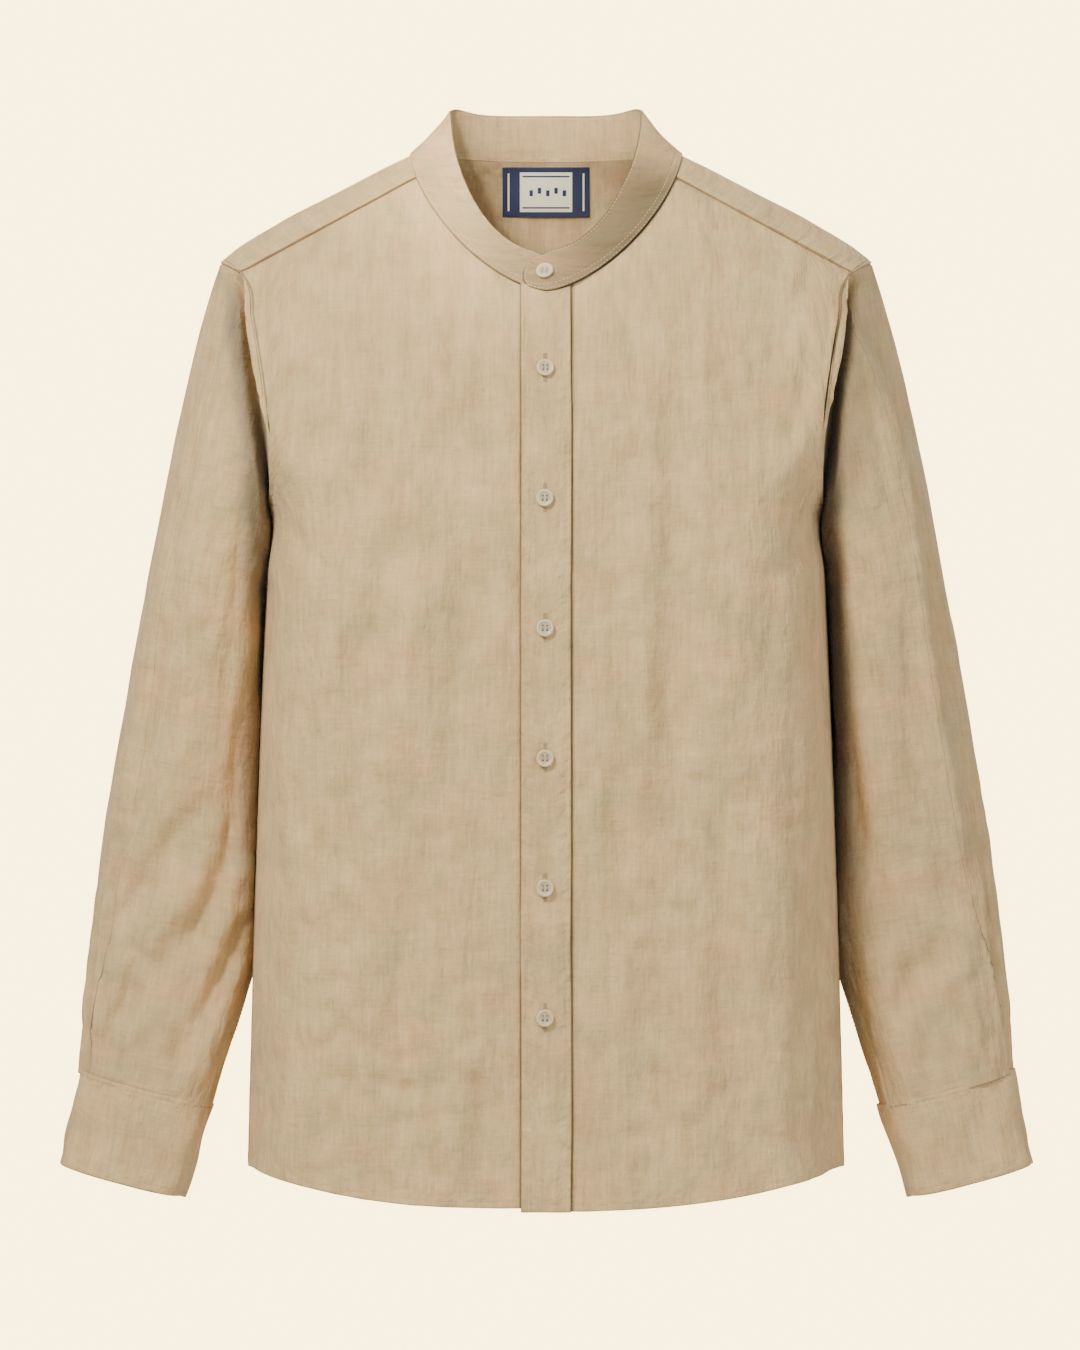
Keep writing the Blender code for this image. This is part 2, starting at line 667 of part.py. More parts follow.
def on_neck_edge(turn):
    """A point on the straight runs between the panels' own neckline points."""
    half = neck_turns()[::-1]
    keys = np.concatenate([-half[:0:-1], half])
    points = neck_point(keys)
    return np.stack([np.interp(turn, keys, points[:, axis]) for axis in range(3)], axis=-1)


def build_collar_band():
    turns, rise = band_turns()
    base = on_neck_edge(turns)
    top = band_top(turns)
    points = base + (top - base) * rise[:, None, None]
    normals = -grid_normals(points)
    points = points - normals * (BAND_HOLLOW * 4 * rise * (1 - rise))[:, None, None]
    from_end = np.where(turns > 90.0, points[..., 0], LAP_END_X)
    past = (from_end - BAND_LAP_START_X) / BAND_LAP_EASE
    lap = (BAND_CLOTH + SEAM_GAP) * (1 - eased(past))
    points[..., 1] -= lap / np.maximum(np.abs(normals[..., 1]), 0.5)
    points = points + unit(top - base) * (BAND_SEAM_GAP * (1 - rise))[:, None, None]
    wall("collar_band", points, normals, BAND_CLOTH, LINEN_PRESSED)
    return points, normals


# ---------------------------------------------------------------- sleeves
def ring_points(turn):
    """The armhole ring for the wearer's left; turn 0 at the top and 90 in front."""
    turn = np.mod(turn, 360.0)
    front = turn <= 180.0
    z = ring_z(turn)
    x = np.where(front, armhole_x(z, -1), armhole_x(z, 1))
    outward = np.where(front[:, None], body_points(x, z, -1), body_points(x, z, 1))
    return outward


def loop_points(loops, turn, along):
    read = {name: smooth(loops, "along", name, along) for name in Loop._fields[1:]}
    tilt = np.radians(read["tilt"])
    c = np.cos(np.radians(turn))
    s = np.sin(np.radians(turn))
    power = 2 / read["squareness"]
    across = read["half_width"] * np.sign(c) * np.abs(c) ** power
    depth = np.where(s > 0, read["front_depth"], read["back_depth"])
    y = read["y"] - depth * np.sign(s) * np.abs(s) ** power
    x = read["x"] + across * np.cos(tilt)
    z = read["z"] + across * np.sin(tilt)
    return np.stack([x, y, z], axis=-1)


def leave_way(turn):
    turn = np.mod(turn, 360.0)
    ways = [smooth(SLEEVE_LEAVES, "turn", axis, turn) for axis in "xyz"]
    return unit(np.stack(ways, axis=-1))


def clear_of_body(points):
    """Moves a sleeve's points out to where they are just clear of the body's side."""
    x, y, z = points[..., 0], points[..., 1], points[..., 2]
    middle = body("middle_y", z)
    depth = np.where(y > middle, body("back_depth", z), body("front_depth", z))
    corner = np.where(y > middle, BACK_CORNER, FRONT_CORNER)
    half = body("half_width", z)
    reach = half
    for _ in range(3):
        share = np.clip(np.abs(y - middle) / (depth * plan_share(reach)), 0.0, 1.0)
        reach = half - corner * (1 - np.sqrt(1 - share * share))
    wanted = reach + SLEEVE_CLEARANCE * eased((ARMHOLE_BOTTOM_Z - z) / SLEEVE_CLEARANCE_DROP)
    moved = np.where(z < ARMHOLE_BOTTOM_Z, np.maximum(x, wanted), x)
    return np.stack([moved, y, z], axis=-1)


def sleeve_grid():
    """Outer points of the wearer's left sleeve: rows down the arm, columns round it."""
    front = np.concatenate([ring_turns(-1)[0], ring_turns(-1)[1][1:]])
    back = 360.0 - np.concatenate([ring_turns(1)[0], ring_turns(1)[1][1:]])[::-1]
    turn = np.concatenate([front, back[1:]])
    ring = ring_points(turn)
    first = loop_points(SLEEVE_LOOPS, turn, np.zeros_like(turn))
    tilt = math.radians(SLEEVE_LOOPS[0].tilt)
    down = np.array([math.sin(tilt), 0.0, -math.cos(tilt)])
    reach = np.linalg.norm(first - ring, axis=-1, keepdims=True)
    rows = []
    for t in np.linspace(0.0, 1.0, CAP_STEPS + 1):
        begin = ring * (1 + 2 * t) * (1 - t) ** 2
        end = first * t * t * (3 - 2 * t)
        leave = leave_way(turn) * reach * t * (1 - t) ** 2
        arrive = down * reach * t * t * (t - 1)
        rows.append(begin + end + leave + arrive)
    length = SLEEVE_LOOPS[-1].along
    for along in np.linspace(0.0, length, ARM_STEPS + 1)[1:]:
        rows.append(loop_points(SLEEVE_LOOPS, turn, np.full_like(turn, along)))
    grid = np.array(rows)
    start = np.linspace(-CAP_LENGTH, 0.0, CAP_STEPS + 1)[:-1]
    along = np.concatenate([start, np.linspace(0.0, length, ARM_STEPS + 1)])
    return grid, turn, along


def fold_depth(turn, along):
    pressed = np.zeros(np.broadcast(turn, along).shape)
    for fold in SLEEVE_FOLDS:
        away = np.mod(turn - fold.turn + 180.0, 360.0) - 180.0
        share = np.clip((along - fold.start) / (fold.end - fold.start), 0.0, 1.0)
        pressed += fold.depth * np.sin(np.pi * share) * np.exp(-((away / fold.width) ** 2))
    return pressed


def build_sleeve(name, mirror):
    grid, turn, along = sleeve_grid()
    normals = tube_normals(grid)
    grid = grid - normals * fold_depth(turn[None, :], along[:, None])[..., None]
    grid = clear_of_body(grid)
    normals = tube_normals(grid)
    side = np.where(turn <= 180.0, -1.0, 1.0)
    seam = form_normal(grid[0, :, 0], grid[0, :, 2], side)
    own_share = eased((-0.35 - np.cos(np.radians(turn))) / 0.5)[:, None]
    normals[0] = unit(normals[0] * own_share + seam * (1 - own_share))
    grid[0] = grid[0] + unit(grid[1] - grid[0]) * SEAM_GAP * 1.5
    if mirror < 0:
        grid = grid * np.array([-1.0, 1.0, 1.0])
        normals = normals * np.array([-1.0, 1.0, 1.0])
    wall(name, grid, normals, CLOTH, LINEN, closed=True)


# ---------------------------------------------------------------- cuffs
def cuff_points(mirror):
    """A lapped band round the wrist: its outer points, their normals and turns."""
    share = np.linspace(0.0, 1.0, CUFF_STEPS + 1)
    turn = CUFF_LAP_START + (360.0 + CUFF_LAP_END - CUFF_LAP_START) * share
    rows = []
    for along in np.linspace(0.0, CUFF_LOOPS[-1].along, CUFF_RISE_STEPS + 1):
        rows.append(loop_points(CUFF_LOOPS, turn, np.full_like(turn, along)))
    points = np.array(rows)
    tilt = math.radians(CUFF_LOOPS[0].tilt)
    down = np.array([math.sin(tilt), 0.0, -math.cos(tilt)])
    points = points + down * CUFF_CLEARANCE
    normals = -grid_normals(points)
    lap = (BAND_CLOTH + 2 * SEAM_GAP) * eased((share - CUFF_LAP_SHARE) / CUFF_LAP_EASE)
    points = points + normals * lap[None, :, None]
    if mirror < 0:
        points = points * np.array([-1.0, 1.0, 1.0])
        normals = normals * np.array([-1.0, 1.0, 1.0])
    return points, normals, turn


def build_cuff(name, mirror):
    points, normals, turn = cuff_points(mirror)
    wall(name, points, normals, BAND_CLOTH, LINEN_PRESSED)
    column = int(np.argmin(np.abs(turn - 360.0 - CUFF_BUTTON_TURN)))
    row = CUFF_RISE_STEPS // 2
    return points[row, column], normals[row, column]


# ---------------------------------------------------------------- buttons
def build_button(name, place, normal):
    """A turned button with a raised rim and a shallow dish, flat behind."""
    radius = BUTTON_RADIUS
    profile = (
        (0.0, 0.60),
        (0.64, 0.60),
        (0.80, 1.0),
        (0.96, 0.92),
        (1.0, 0.30),
        (0.88, 0.0),
    )
    verts = [(0.0, 0.0, profile[0][1] * BUTTON_THICKNESS)]
    for reach, height in profile[1:]:
        for side in range(BUTTON_SIDES):
            angle = 2 * math.pi * side / BUTTON_SIDES
            verts.append(
                (
                    reach * radius * math.cos(angle),
                    reach * radius * math.sin(angle),
                    height * BUTTON_THICKNESS,
                )
            )
    verts.append((0.0, 0.0, 0.0))
    faces = []
    for side in range(BUTTON_SIDES):
        after = (side + 1) % BUTTON_SIDES
        faces.append((0, 1 + side, 1 + after))
        for ring in range(len(profile) - 2):
            near = 1 + ring * BUTTON_SIDES
            far = near + BUTTON_SIDES
            faces.append((near + side, far + side, far + after, near + after))
        last = 1 + (len(profile) - 2) * BUTTON_SIDES
        faces.append((last + side, len(verts) - 1, last + after))
    normal = unit(np.array(normal, float))
    across = unit(np.cross(np.array([0.0, 0.0, 1.0]), normal))
    up = np.cross(normal, across)
    turned = np.array(verts) @ np.array([across, up, normal])
    turned = turned + np.array(place) + normal * BUTTON_LIFT
    add_object(name, turned, faces, BUTTON_FINISH)


def strip_place(strip, z):
    """The point in the middle of the button strip at this height, and the way it faces."""
    middle = strip[:, 1]
    side = strip[:, 2]
    order = np.argsort(middle[:, 2])
    place = [np.interp(z, middle[order, 2], middle[order, axis]) for axis in range(3)]
    above = [np.interp(z + 0.01, middle[order, 2], middle[order, axis]) for axis in range(3)]
    edge_order = np.argsort(side[:, 2])
    edge = [np.interp(z, side[edge_order, 2], side[edge_order, axis]) for axis in range(3)]
    up = np.array(above) - np.array(place)
    across = np.array(edge) - np.array(place)
    return np.array(place), unit(np.cross(across, up))


def band_place(points, normals, x, z):
    """The point of the collar band's outer face nearest this place in the front view."""
    near = points[:, : 2 * BAND_END_STEPS].reshape(-1, 3)
    facing = normals[:, : 2 * BAND_END_STEPS].reshape(-1, 3)
    index = int(np.argmin((near[:, 0] - x) ** 2 + (near[:, 2] - z) ** 2))
    return near[index], facing[index]


# ---------------------------------------------------------------- walls and meshes
def grid_normals(points):
    """Unit normals of a grid of points, from its rows and columns."""
    down = np.gradient(points, axis=0)
    across = np.gradient(points, axis=1)
    return unit(np.cross(down, across))


def tube_normals(points):
    down = np.gradient(points, axis=0)
    across = np.roll(points, -1, axis=1) - np.roll(points, 1, axis=1)
    return unit(np.cross(down, across)) * -1.0


def wall(name, outer, normals, thickness, finish, closed=False):
    """A closed wall between the outer points and the same points moved inwards."""
    rows, columns = outer.shape[:2]
    inner = outer - normals * thickness
    verts = np.concatenate([outer.reshape(-1, 3), inner.reshape(-1, 3)])
    below = rows * columns
    faces = []
    last = columns if closed else columns - 1
    for row in range(rows - 1):
        for column in range(last):
            after = (column + 1) % columns
            a = row * columns + column
            b = row * columns + after
            c = (row + 1) * columns + after
            d = (row + 1) * columns + column
            faces.append((a, b, c, d))
            faces.append((below + d, below + c, below + b, below + a))
    for column in range(last):
        after = (column + 1) % columns
        end = (rows - 1) * columns
        faces.append((below + column, below + after, after, column))
        faces.append((end + column, end + after, below + end + after, below + end + column))
    if not closed:
        for row in range(rows - 1):
            a = row * columns
            b = a + columns
            far_a = a + columns - 1
            far_b = b + columns - 1
            faces.append((a, b, below + b, below + a))
            faces.append((far_b, far_a, below + far_a, below + far_b))
    add_object(name, verts, faces, finish)


def add_object(name, verts, faces, finish):
    mesh = bpy.data.meshes.new(name)
    mesh.from_pydata([tuple(map(float, vert)) for vert in verts], [], faces)
    mesh.validate()
    if mesh_volume(mesh) < 0:
        mesh.flip_normals()
    mesh.shade_smooth()
    mesh.set_sharp_from_angle(angle=math.radians(40))
    material = bpy.data.materials.new(name)
    material.use_nodes = True
    shader = material.node_tree.nodes["Principled BSDF"]
    shader.inputs["Base Color"].default_value = finish.colour
    shader.inputs["Roughness"].default_value = finish.roughness
    shader.inputs["Metallic"].default_value = 0.0
    mesh.materials.append(material)
    bpy.context.scene.collection.objects.link(bpy.data.objects.new(name, mesh))


def mesh_volume(mesh):
    mesh.calc_loop_triangles()
    total = 0.0
    for triangle in mesh.loop_triangles:
        a, b, c = (mesh.vertices[index].co for index in triangle.vertices)
        total += a.dot(b.cross(c))
    return total / 6


def main():
    for old in list(bpy.data.objects):
        bpy.data.objects.remove(old)
    strip = build_fronts()
    build_back()
    yoke_points, yoke_normals = build_yoke()
    build_label(yoke_points, yoke_normals)
    band_points, band_normals = build_collar_band()
    place, facing = band_place(band_points, band_normals, BUTTON_X, COLLAR_BUTTON_Z)
    build_button("button_collar", place, facing)
    for count in range(FRONT_BUTTON_COUNT):
        z = FRONT_BUTTON_TOP_Z - FRONT_BUTTON_STEP * count
        place, facing = strip_place(strip, z)
        build_button(f"button_front_{count + 1}", place, facing)
    for label, mirror in (("left", 1), ("right", -1)):
        build_sleeve(f"sleeve_{label}", mirror)
        place, facing = build_cuff(f"cuff_{label}", mirror)
        build_button(f"button_cuff_{label}", place, facing)


main()
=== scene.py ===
import math

import bmesh
import bpy
import numpy as np
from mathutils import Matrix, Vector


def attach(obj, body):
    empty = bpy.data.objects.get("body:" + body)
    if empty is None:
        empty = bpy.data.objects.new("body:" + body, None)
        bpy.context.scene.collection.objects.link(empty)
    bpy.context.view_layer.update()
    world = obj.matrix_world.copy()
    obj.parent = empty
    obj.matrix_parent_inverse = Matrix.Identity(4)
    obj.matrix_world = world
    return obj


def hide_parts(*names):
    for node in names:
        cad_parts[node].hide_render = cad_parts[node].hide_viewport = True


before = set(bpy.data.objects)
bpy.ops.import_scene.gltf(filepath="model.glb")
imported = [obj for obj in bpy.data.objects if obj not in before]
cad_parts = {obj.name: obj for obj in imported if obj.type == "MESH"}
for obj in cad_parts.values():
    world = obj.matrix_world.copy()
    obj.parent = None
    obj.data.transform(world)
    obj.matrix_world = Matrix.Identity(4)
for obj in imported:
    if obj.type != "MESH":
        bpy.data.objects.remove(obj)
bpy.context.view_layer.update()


# Tables and curves

def table(columns, *rows):
    return {name: np.array([row[place] for row in rows], float) for place, name in enumerate(columns.split())}


def curve(rows, key, column, at):
    order = np.argsort(rows[key])
    places = rows[key][order]
    values = rows[column][order]
    slopes = np.gradient(values, places)
    at = np.clip(np.asarray(at, float), places[0], places[-1])
    low = np.clip(np.searchsorted(places, at, side="right") - 1, 0, len(places) - 2)
    span = places[low + 1] - places[low]
    t = (at - places[low]) / span
    start = values[low] * (1 + 2 * t) * (1 - t) ** 2
    end = values[low + 1] * t * t * (3 - 2 * t)
    return start + end + span * (slopes[low] * t * (1 - t) ** 2 + slopes[low + 1] * t * t * (t - 1))


def eased(value):
    value = np.clip(value, 0.0, 1.0)
    return value * value * (3 - 2 * value)


def unit(vectors):
    return vectors / np.maximum(np.linalg.norm(vectors, axis=-1, keepdims=True), 1e-12)


def bell(distance, width):
    return np.exp(-((distance / width) ** 2))


def softNoise(u, v, sizeU, sizeV, seed):
    lattice = np.random.default_rng(seed).uniform(-1.0, 1.0, (96, 96))
    a = np.asarray(u) / sizeU + 37.3
    b = np.asarray(v) / sizeV + 41.7
    i = np.floor(a).astype(int)
    j = np.floor(b).astype(int)
    s = a - i
    t = b - j
    s = s**3 * (s * (6 * s - 15) + 10)
    t = t**3 * (t * (6 * t - 15) + 10)
    i, j, iNext, jNext = i % 96, j % 96, (i + 1) % 96, (j + 1) % 96
    near = lattice[i, j] * (1 - s) + lattice[iNext, j] * s
    far = lattice[i, jNext] * (1 - s) + lattice[iNext, jNext] * s
    return near * (1 - t) + far * t


# The garment's form, with the same sizes as the CAD part

form = {
    "planHalfWidth": 0.262,
    "planPower": 3.0,
    "frontCorner": 0.052,
    "backCorner": 0.085,
    "shoulderRoundHeight": 0.060,
    "shoulderRoundPower": 1.7,
    "yokeDropScale": 0.06,
    "neckHalfWidth": 0.095,
    "neckFrontDrop": 0.097,
    "neckBackDrop": 0.004,
    "neckPower": 1.55,
    "yokeSeamNeckX": 0.090,
    "yokeSeamNeckZ": -0.015,
    "yokeBackZ": -0.1025,
    "armholeTopZ": -0.0767,
    "armholeBottomZ": -0.250,
    "frontSeamTurn": 24.0,
    "backSeamTurn": 45.0,
    "hemHalfWidth": 0.211,
    "hemPower": 2.9,
    "hemSideZ": -0.7175,
    "hemCentreZ": -0.7475,
    "stripHemZ": -0.7505,
    "stripHalfWidth": 0.0178,
}

bodyTable = table(
    "z halfWidth middleY frontDepth backDepth",
    (0.060, 0.262, 0.000, 0.010, 0.020),
    (0.000, 0.262, 0.000, 0.023, 0.042),
    (-0.020, 0.262, 0.000, 0.034, 0.056),
    (-0.060, 0.262, 0.000, 0.053, 0.082),
    (-0.100, 0.260, -0.001, 0.069, 0.103),
    (-0.150, 0.252, -0.003, 0.0860, 0.121),
    (-0.185, 0.240, -0.005, 0.0925, 0.129),
    (-0.215, 0.220, -0.007, 0.0955, 0.134),
    (-0.235, 0.204, -0.0085, 0.0965, 0.1365),
    (-0.250, 0.1965, -0.0095, 0.0971, 0.1375),
    (-0.300, 0.1975, -0.0120, 0.0980, 0.1375),
    (-0.360, 0.1998, -0.0130, 0.0980, 0.1350),
    (-0.400, 0.2015, -0.0130, 0.0975, 0.1320),
    (-0.530, 0.2060, -0.0130, 0.0950, 0.1240),
    (-0.650, 0.2095, -0.0130, 0.0950, 0.1220),
    (-0.760, 0.2120, -0.0130, 0.0970, 0.1240),
)

shoulderTable = table(
    "x z",
    (0.000, 0.054),
    (0.060, 0.020),
    (0.095, 0.000),
    (0.1136, -0.0090),
    (0.1455, -0.0256),
    (0.1880, -0.0476),
    (0.2094, -0.0604),
    (0.2201, -0.0674),
    (0.2308, -0.0767),
)

armholeFront = table(
    "z x",
    (-0.0767, 0.2308),
    (-0.0830, 0.2190),
    (-0.0880, 0.2145),
    (-0.1160, 0.2085),
    (-0.1490, 0.2030),
    (-0.1810, 0.1992),
    (-0.2150, 0.1963),
    (-0.2350, 0.1958),
    (-0.2500, 0.1965),
)

armholeBack = table(
    "z x",
    (-0.0767, 0.2308),
    (-0.0860, 0.2240),
    (-0.1025, 0.2180),
    (-0.1400, 0.2095),
    (-0.1800, 0.2030),
    (-0.2200, 0.1975),
    (-0.2500, 0.1965),
)


def bodyAt(column, z):
    return curve(bodyTable, "z", column, z)


def ridgeZ(x):
    return curve(shoulderTable, "x", "z", np.abs(x))


def bodyY(x, z, side):
    depth = bodyAt("frontDepth" if side < 0 else "backDepth", z)
    corner = form["frontCorner"] if side < 0 else form["backCorner"]
    into = np.clip((np.abs(x) - bodyAt("halfWidth", z)) / corner + 1, 0.0, 1.0)
    power = form["planPower"]
    plan = (1 - np.clip(np.abs(x) / form["planHalfWidth"], 0.0, 1.0) ** power) ** (1 / power)
    rest = 1 - np.clip((ridgeZ(x) - z) / form["shoulderRoundHeight"], 0.0, 1.0)
    power = form["shoulderRoundPower"]
    drop = (1 - rest**power) ** (1 / power)
    return bodyAt("middleY", z) + side * depth * plan * np.sqrt(1 - into * into) * drop


def bodyPoints(x, z, side):
    return np.stack(np.broadcast_arrays(x, bodyY(x, z, side), z), axis=-1)


def grainPlace(x, z, side):
    share = np.linspace(0.0, 1.0, 33)[:, None, None]
    alongX = bodyPoints(x[None] * share, z[None] + 0 * share, side)
    low = form["armholeBottomZ"]
    alongZ = bodyPoints(x[None] + 0 * share, low + (z[None] - low) * share, side)
    return np.sign(x) * lengths(alongX, 0)[-1], np.sign(z - low) * lengths(alongZ, 0)[-1]


def neckFrontZ(x):
    power = form["neckPower"]
    share = np.clip(np.abs(x) / form["neckHalfWidth"], 0.0, 1.0)
    return -form["neckFrontDrop"] * (1 - share**power) ** (1 / power)


def ringZ(turn):
    middle = (form["armholeTopZ"] + form["armholeBottomZ"]) / 2
    reach = (form["armholeTopZ"] - form["armholeBottomZ"]) / 2
    return middle + reach * np.cos(np.radians(turn))


def armholeX(z, side):
    return curve(armholeFront if side < 0 else armholeBack, "z", "x", z)


def sideX(z, side):
    return np.where(z > form["armholeBottomZ"], armholeX(z, side), bodyAt("halfWidth", z))


def yokeSeamZ(x):
    endZ = ringZ(form["frontSeamTurn"])
    slope = (endZ - form["yokeSeamNeckZ"]) / (armholeX(endZ, -1) - form["yokeSeamNeckX"])
    return form["yokeSeamNeckZ"] + slope * (np.abs(x) - form["yokeSeamNeckX"])


def hemZ(x):
    share = np.clip(np.abs(x) / form["hemHalfWidth"], 0.0, 1.0)
    return form["hemCentreZ"] + (form["hemSideZ"] - form["hemCentreZ"]) * share ** form["hemPower"]


def overShoulder(x, q):
    z = ridgeZ(x) - form["yokeDropScale"] * q * q
    return np.stack([x, np.where(q < 0, bodyY(x, z, -1), bodyY(x, z, 1)), z], axis=-1)


def wayOver(x, z, side):
    return side * np.sqrt(np.maximum(ridgeZ(x) - z, 0.0) / form["yokeDropScale"])


def neckline(turn):
    angle = np.radians(np.abs(turn))
    front = angle > math.pi / 2
    c = np.sin(angle)
    s = np.abs(np.cos(angle))
    power = 2 / form["neckPower"]
    x = np.where(front, form["neckHalfWidth"] * np.sign(c) * np.abs(c) ** power, form["neckHalfWidth"] * c)
    z = np.where(front, -form["neckFrontDrop"] * s**power, -form["neckBackDrop"] * s * s)
    return np.sign(turn + 1e-9) * x, z, np.where(front, -1.0, 1.0)


def neckPoint(turn):
    x, z, side = neckline(turn)
    return np.stack([x, np.where(side < 0, bodyY(x, z, -1), bodyY(x, z, 1)), z], axis=-1)


def neckCornerTurn():
    low, high = 90.0, 150.0
    for _ in range(40):
        middle = (low + high) / 2
        x, z, _side = neckline(np.array(middle))
        if z > yokeSeamZ(x):
            low = middle
        else:
            high = middle
    return low


def turnAtX(x):
    lean = np.degrees(np.arcsin((np.abs(x) / form["neckHalfWidth"]) ** (form["neckPower"] / 2)))
    return 180.0 - np.copysign(lean, x)


# Creases: each a soft trough along a slightly bent line, with a low ridge at each side

def creaseDepth(u, v, creases, wander, seed):
    u = u + wander * softNoise(u, v, 0.035, 0.05, seed)
    v = v + wander * softNoise(u, v, 0.05, 0.035, seed + 1)
    total = np.zeros(np.broadcast(u, v).shape)
    rows = zip(*(creases[name] for name in ("u0", "v0", "u1", "v1", "bend", "width", "depth")))
    for u0, v0, u1, v1, bend, width, depth in rows:
        du, dv = u1 - u0, v1 - v0
        length = math.hypot(du, dv)
        along = ((u - u0) * du + (v - v0) * dv) / length**2
        away = ((u - u0) * dv - (v - v0) * du) / length
        away = away - bend * 4 * along * (1 - along)
        fan = width * (0.7 + 0.6 * np.clip(along, 0.0, 1.0))
        ends = np.sin(np.pi * np.clip(along, 0.0, 1.0)) ** 0.8
        shape = bell(away, fan) - 0.5 * bell(away - 2.0 * fan, 1.3 * fan) - 0.35 * bell(away + 2.1 * fan, 1.5 * fan)
        total += depth * ends * shape
    return total


creaseColumns = "u0 v0 u1 v1 bend width depth"

frontCreases = table(
    creaseColumns,
    (-0.100, -0.245, -0.125, -0.400, 0.004, 0.013, 0.0026),
    (-0.062, -0.200, -0.070, -0.420, -0.005, 0.016, 0.0018),
    (-0.135, -0.330, -0.150, -0.640, 0.005, 0.015, 0.0022),
    (-0.170, -0.300, -0.178, -0.520, -0.004, 0.011, 0.0020),
    (-0.100, -0.480, -0.095, -0.700, 0.006, 0.014, 0.0020),
    (-0.045, -0.420, -0.052, -0.640, -0.004, 0.012, 0.0014),
    (-0.082, -0.082, -0.076, -0.125, 0.002, 0.006, 0.0010),
    (-0.066, -0.094, -0.058, -0.150, 0.002, 0.007, 0.0011),
    (-0.045, -0.108, -0.036, -0.180, -0.002, 0.008, 0.0011),
    (0.078, -0.084, 0.074, -0.130, 0.002, 0.006, 0.0009),
    (0.062, -0.098, 0.066, -0.170, 0.003, 0.008, 0.0011),
    (0.095, -0.230, 0.098, -0.495, 0.005, 0.014, 0.0026),
    (0.050, -0.300, 0.046, -0.520, -0.004, 0.012, 0.0015),
    (0.150, -0.270, 0.158, -0.500, -0.006, 0.014, 0.0020),
    (0.128, -0.450, 0.140, -0.700, 0.004, 0.015, 0.0022),
    (0.070, -0.540, 0.080, -0.720, -0.005, 0.013, 0.0017),
    (0.038, -0.345, 0.022, -0.388, 0.000, 0.004, 0.0009),
    (0.036, -0.425, 0.021, -0.462, 0.001, 0.004, 0.0010),
    (0.033, -0.478, 0.020, -0.505, 0.000, 0.004, 0.0008),
    (0.180, -0.350, 0.186, -0.600, 0.004, 0.010, 0.0016),
    (-0.186, -0.078, -0.172, -0.112, 0.003, 0.007, 0.0022),
    (0.187, -0.072, 0.178, -0.104, -0.003, 0.007, 0.0020),
    (-0.190, -0.120, -0.182, -0.200, 0.002, 0.007, 0.0014),
    (0.189, -0.120, 0.183, -0.200, -0.002, 0.007, 0.0014),
    (-0.185, -0.250, -0.150, -0.300, 0.005, 0.009, 0.0018),
    (0.186, -0.250, 0.156, -0.310, -0.005, 0.009, 0.0018),
    (-0.160, -0.600, -0.120, -0.640, 0.004, 0.006, 0.0010),
    (-0.128, -0.655, -0.090, -0.668, 0.003, 0.005, 0.0009),
    (-0.070, -0.640, -0.040, -0.690, -0.003, 0.006, 0.0009),
    (0.060, -0.640, 0.095, -0.672, -0.003, 0.006, 0.0010),
    (0.100, -0.680, 0.140, -0.655, 0.003, 0.006, 0.0009),
    (0.030, -0.610, 0.055, -0.660, 0.002, 0.005, 0.0008),
)

backCreases = table(
    creaseColumns,
    (-0.060, -0.130, -0.082, -0.400, 0.006, 0.016, 0.0024),
    (0.066, -0.140, 0.060, -0.440, -0.006, 0.017, 0.0022),
    (0.002, -0.220, 0.010, -0.560, 0.004, 0.016, 0.0018),
    (-0.128, -0.280, -0.138, -0.600, -0.005, 0.015, 0.0022),
    (0.130, -0.260, 0.146, -0.560, 0.005, 0.014, 0.0022),
    (-0.040, -0.460, -0.030, -0.700, 0.005, 0.013, 0.0018),
    (0.084, -0.480, 0.080, -0.710, -0.004, 0.014, 0.0020),
    (-0.172, -0.320, -0.176, -0.520, 0.003, 0.011, 0.0016),
    (0.174, -0.360, 0.182, -0.600, -0.003, 0.011, 0.0016),
    (-0.180, -0.130, -0.140, -0.230, 0.006, 0.010, 0.0020),
    (0.178, -0.130, 0.144, -0.220, -0.006, 0.010, 0.0020),
    (-0.092, -0.600, -0.060, -0.640, 0.003, 0.006, 0.0009),
    (0.110, -0.600, 0.150, -0.640, -0.003, 0.006, 0.0009),
    (-0.150, -0.640, -0.115, -0.680, 0.003, 0.006, 0.0010),
    (0.020, -0.630, 0.060, -0.660, 0.003, 0.006, 0.0008),
)


drapeSettings = {"fold": 2.4, "wave": 0.0030, "ripple": 0.0031, "crumple": 0.0027, "grit": 0.0006}


def bodyDrape(x, z, side):
    seed = 11 if side < 0 else 31
    creases = frontCreases if side < 0 else backCreases
    pressed = drapeSettings["fold"] * creaseDepth(x, z, creases, 0.005, seed)
    low = eased((-0.30 - z) / 0.35)
    pressed = pressed + drapeSettings["wave"] * softNoise(x, z, 0.040, 0.170, seed + 2) * (0.4 + 0.8 * low)
    pressed = pressed + drapeSettings["ripple"] * softNoise(x, z, 0.019, 0.070, seed + 3)
    crumple = np.abs(softNoise(x + 0.3 * z, z - 0.2 * x, 0.016, 0.022, seed + 4))
    pressed = pressed + drapeSettings["crumple"] * (0.6 + 0.7 * low) * (0.5 - crumple)
    pressed = pressed + drapeSettings["grit"] * softNoise(x, z, 0.0075, 0.010, seed + 5)
    byArm = eased((np.abs(x) - 0.140) / 0.030) * eased((form["armholeBottomZ"] + 0.03 - z) / 0.03)
    return np.where(pressed < 0, pressed * (1 - 0.75 * byArm), pressed)


# Grids, shells and stitches

farAway = 0.05  # past every stitch and fold mark

def gridNormals(points, closed=False):
    down = np.gradient(points, axis=0)
    if closed:
        across = np.roll(points, -1, axis=1) - np.roll(points, 1, axis=1)
    else:
        across = np.gradient(points, axis=1)
    return unit(np.cross(down, across))


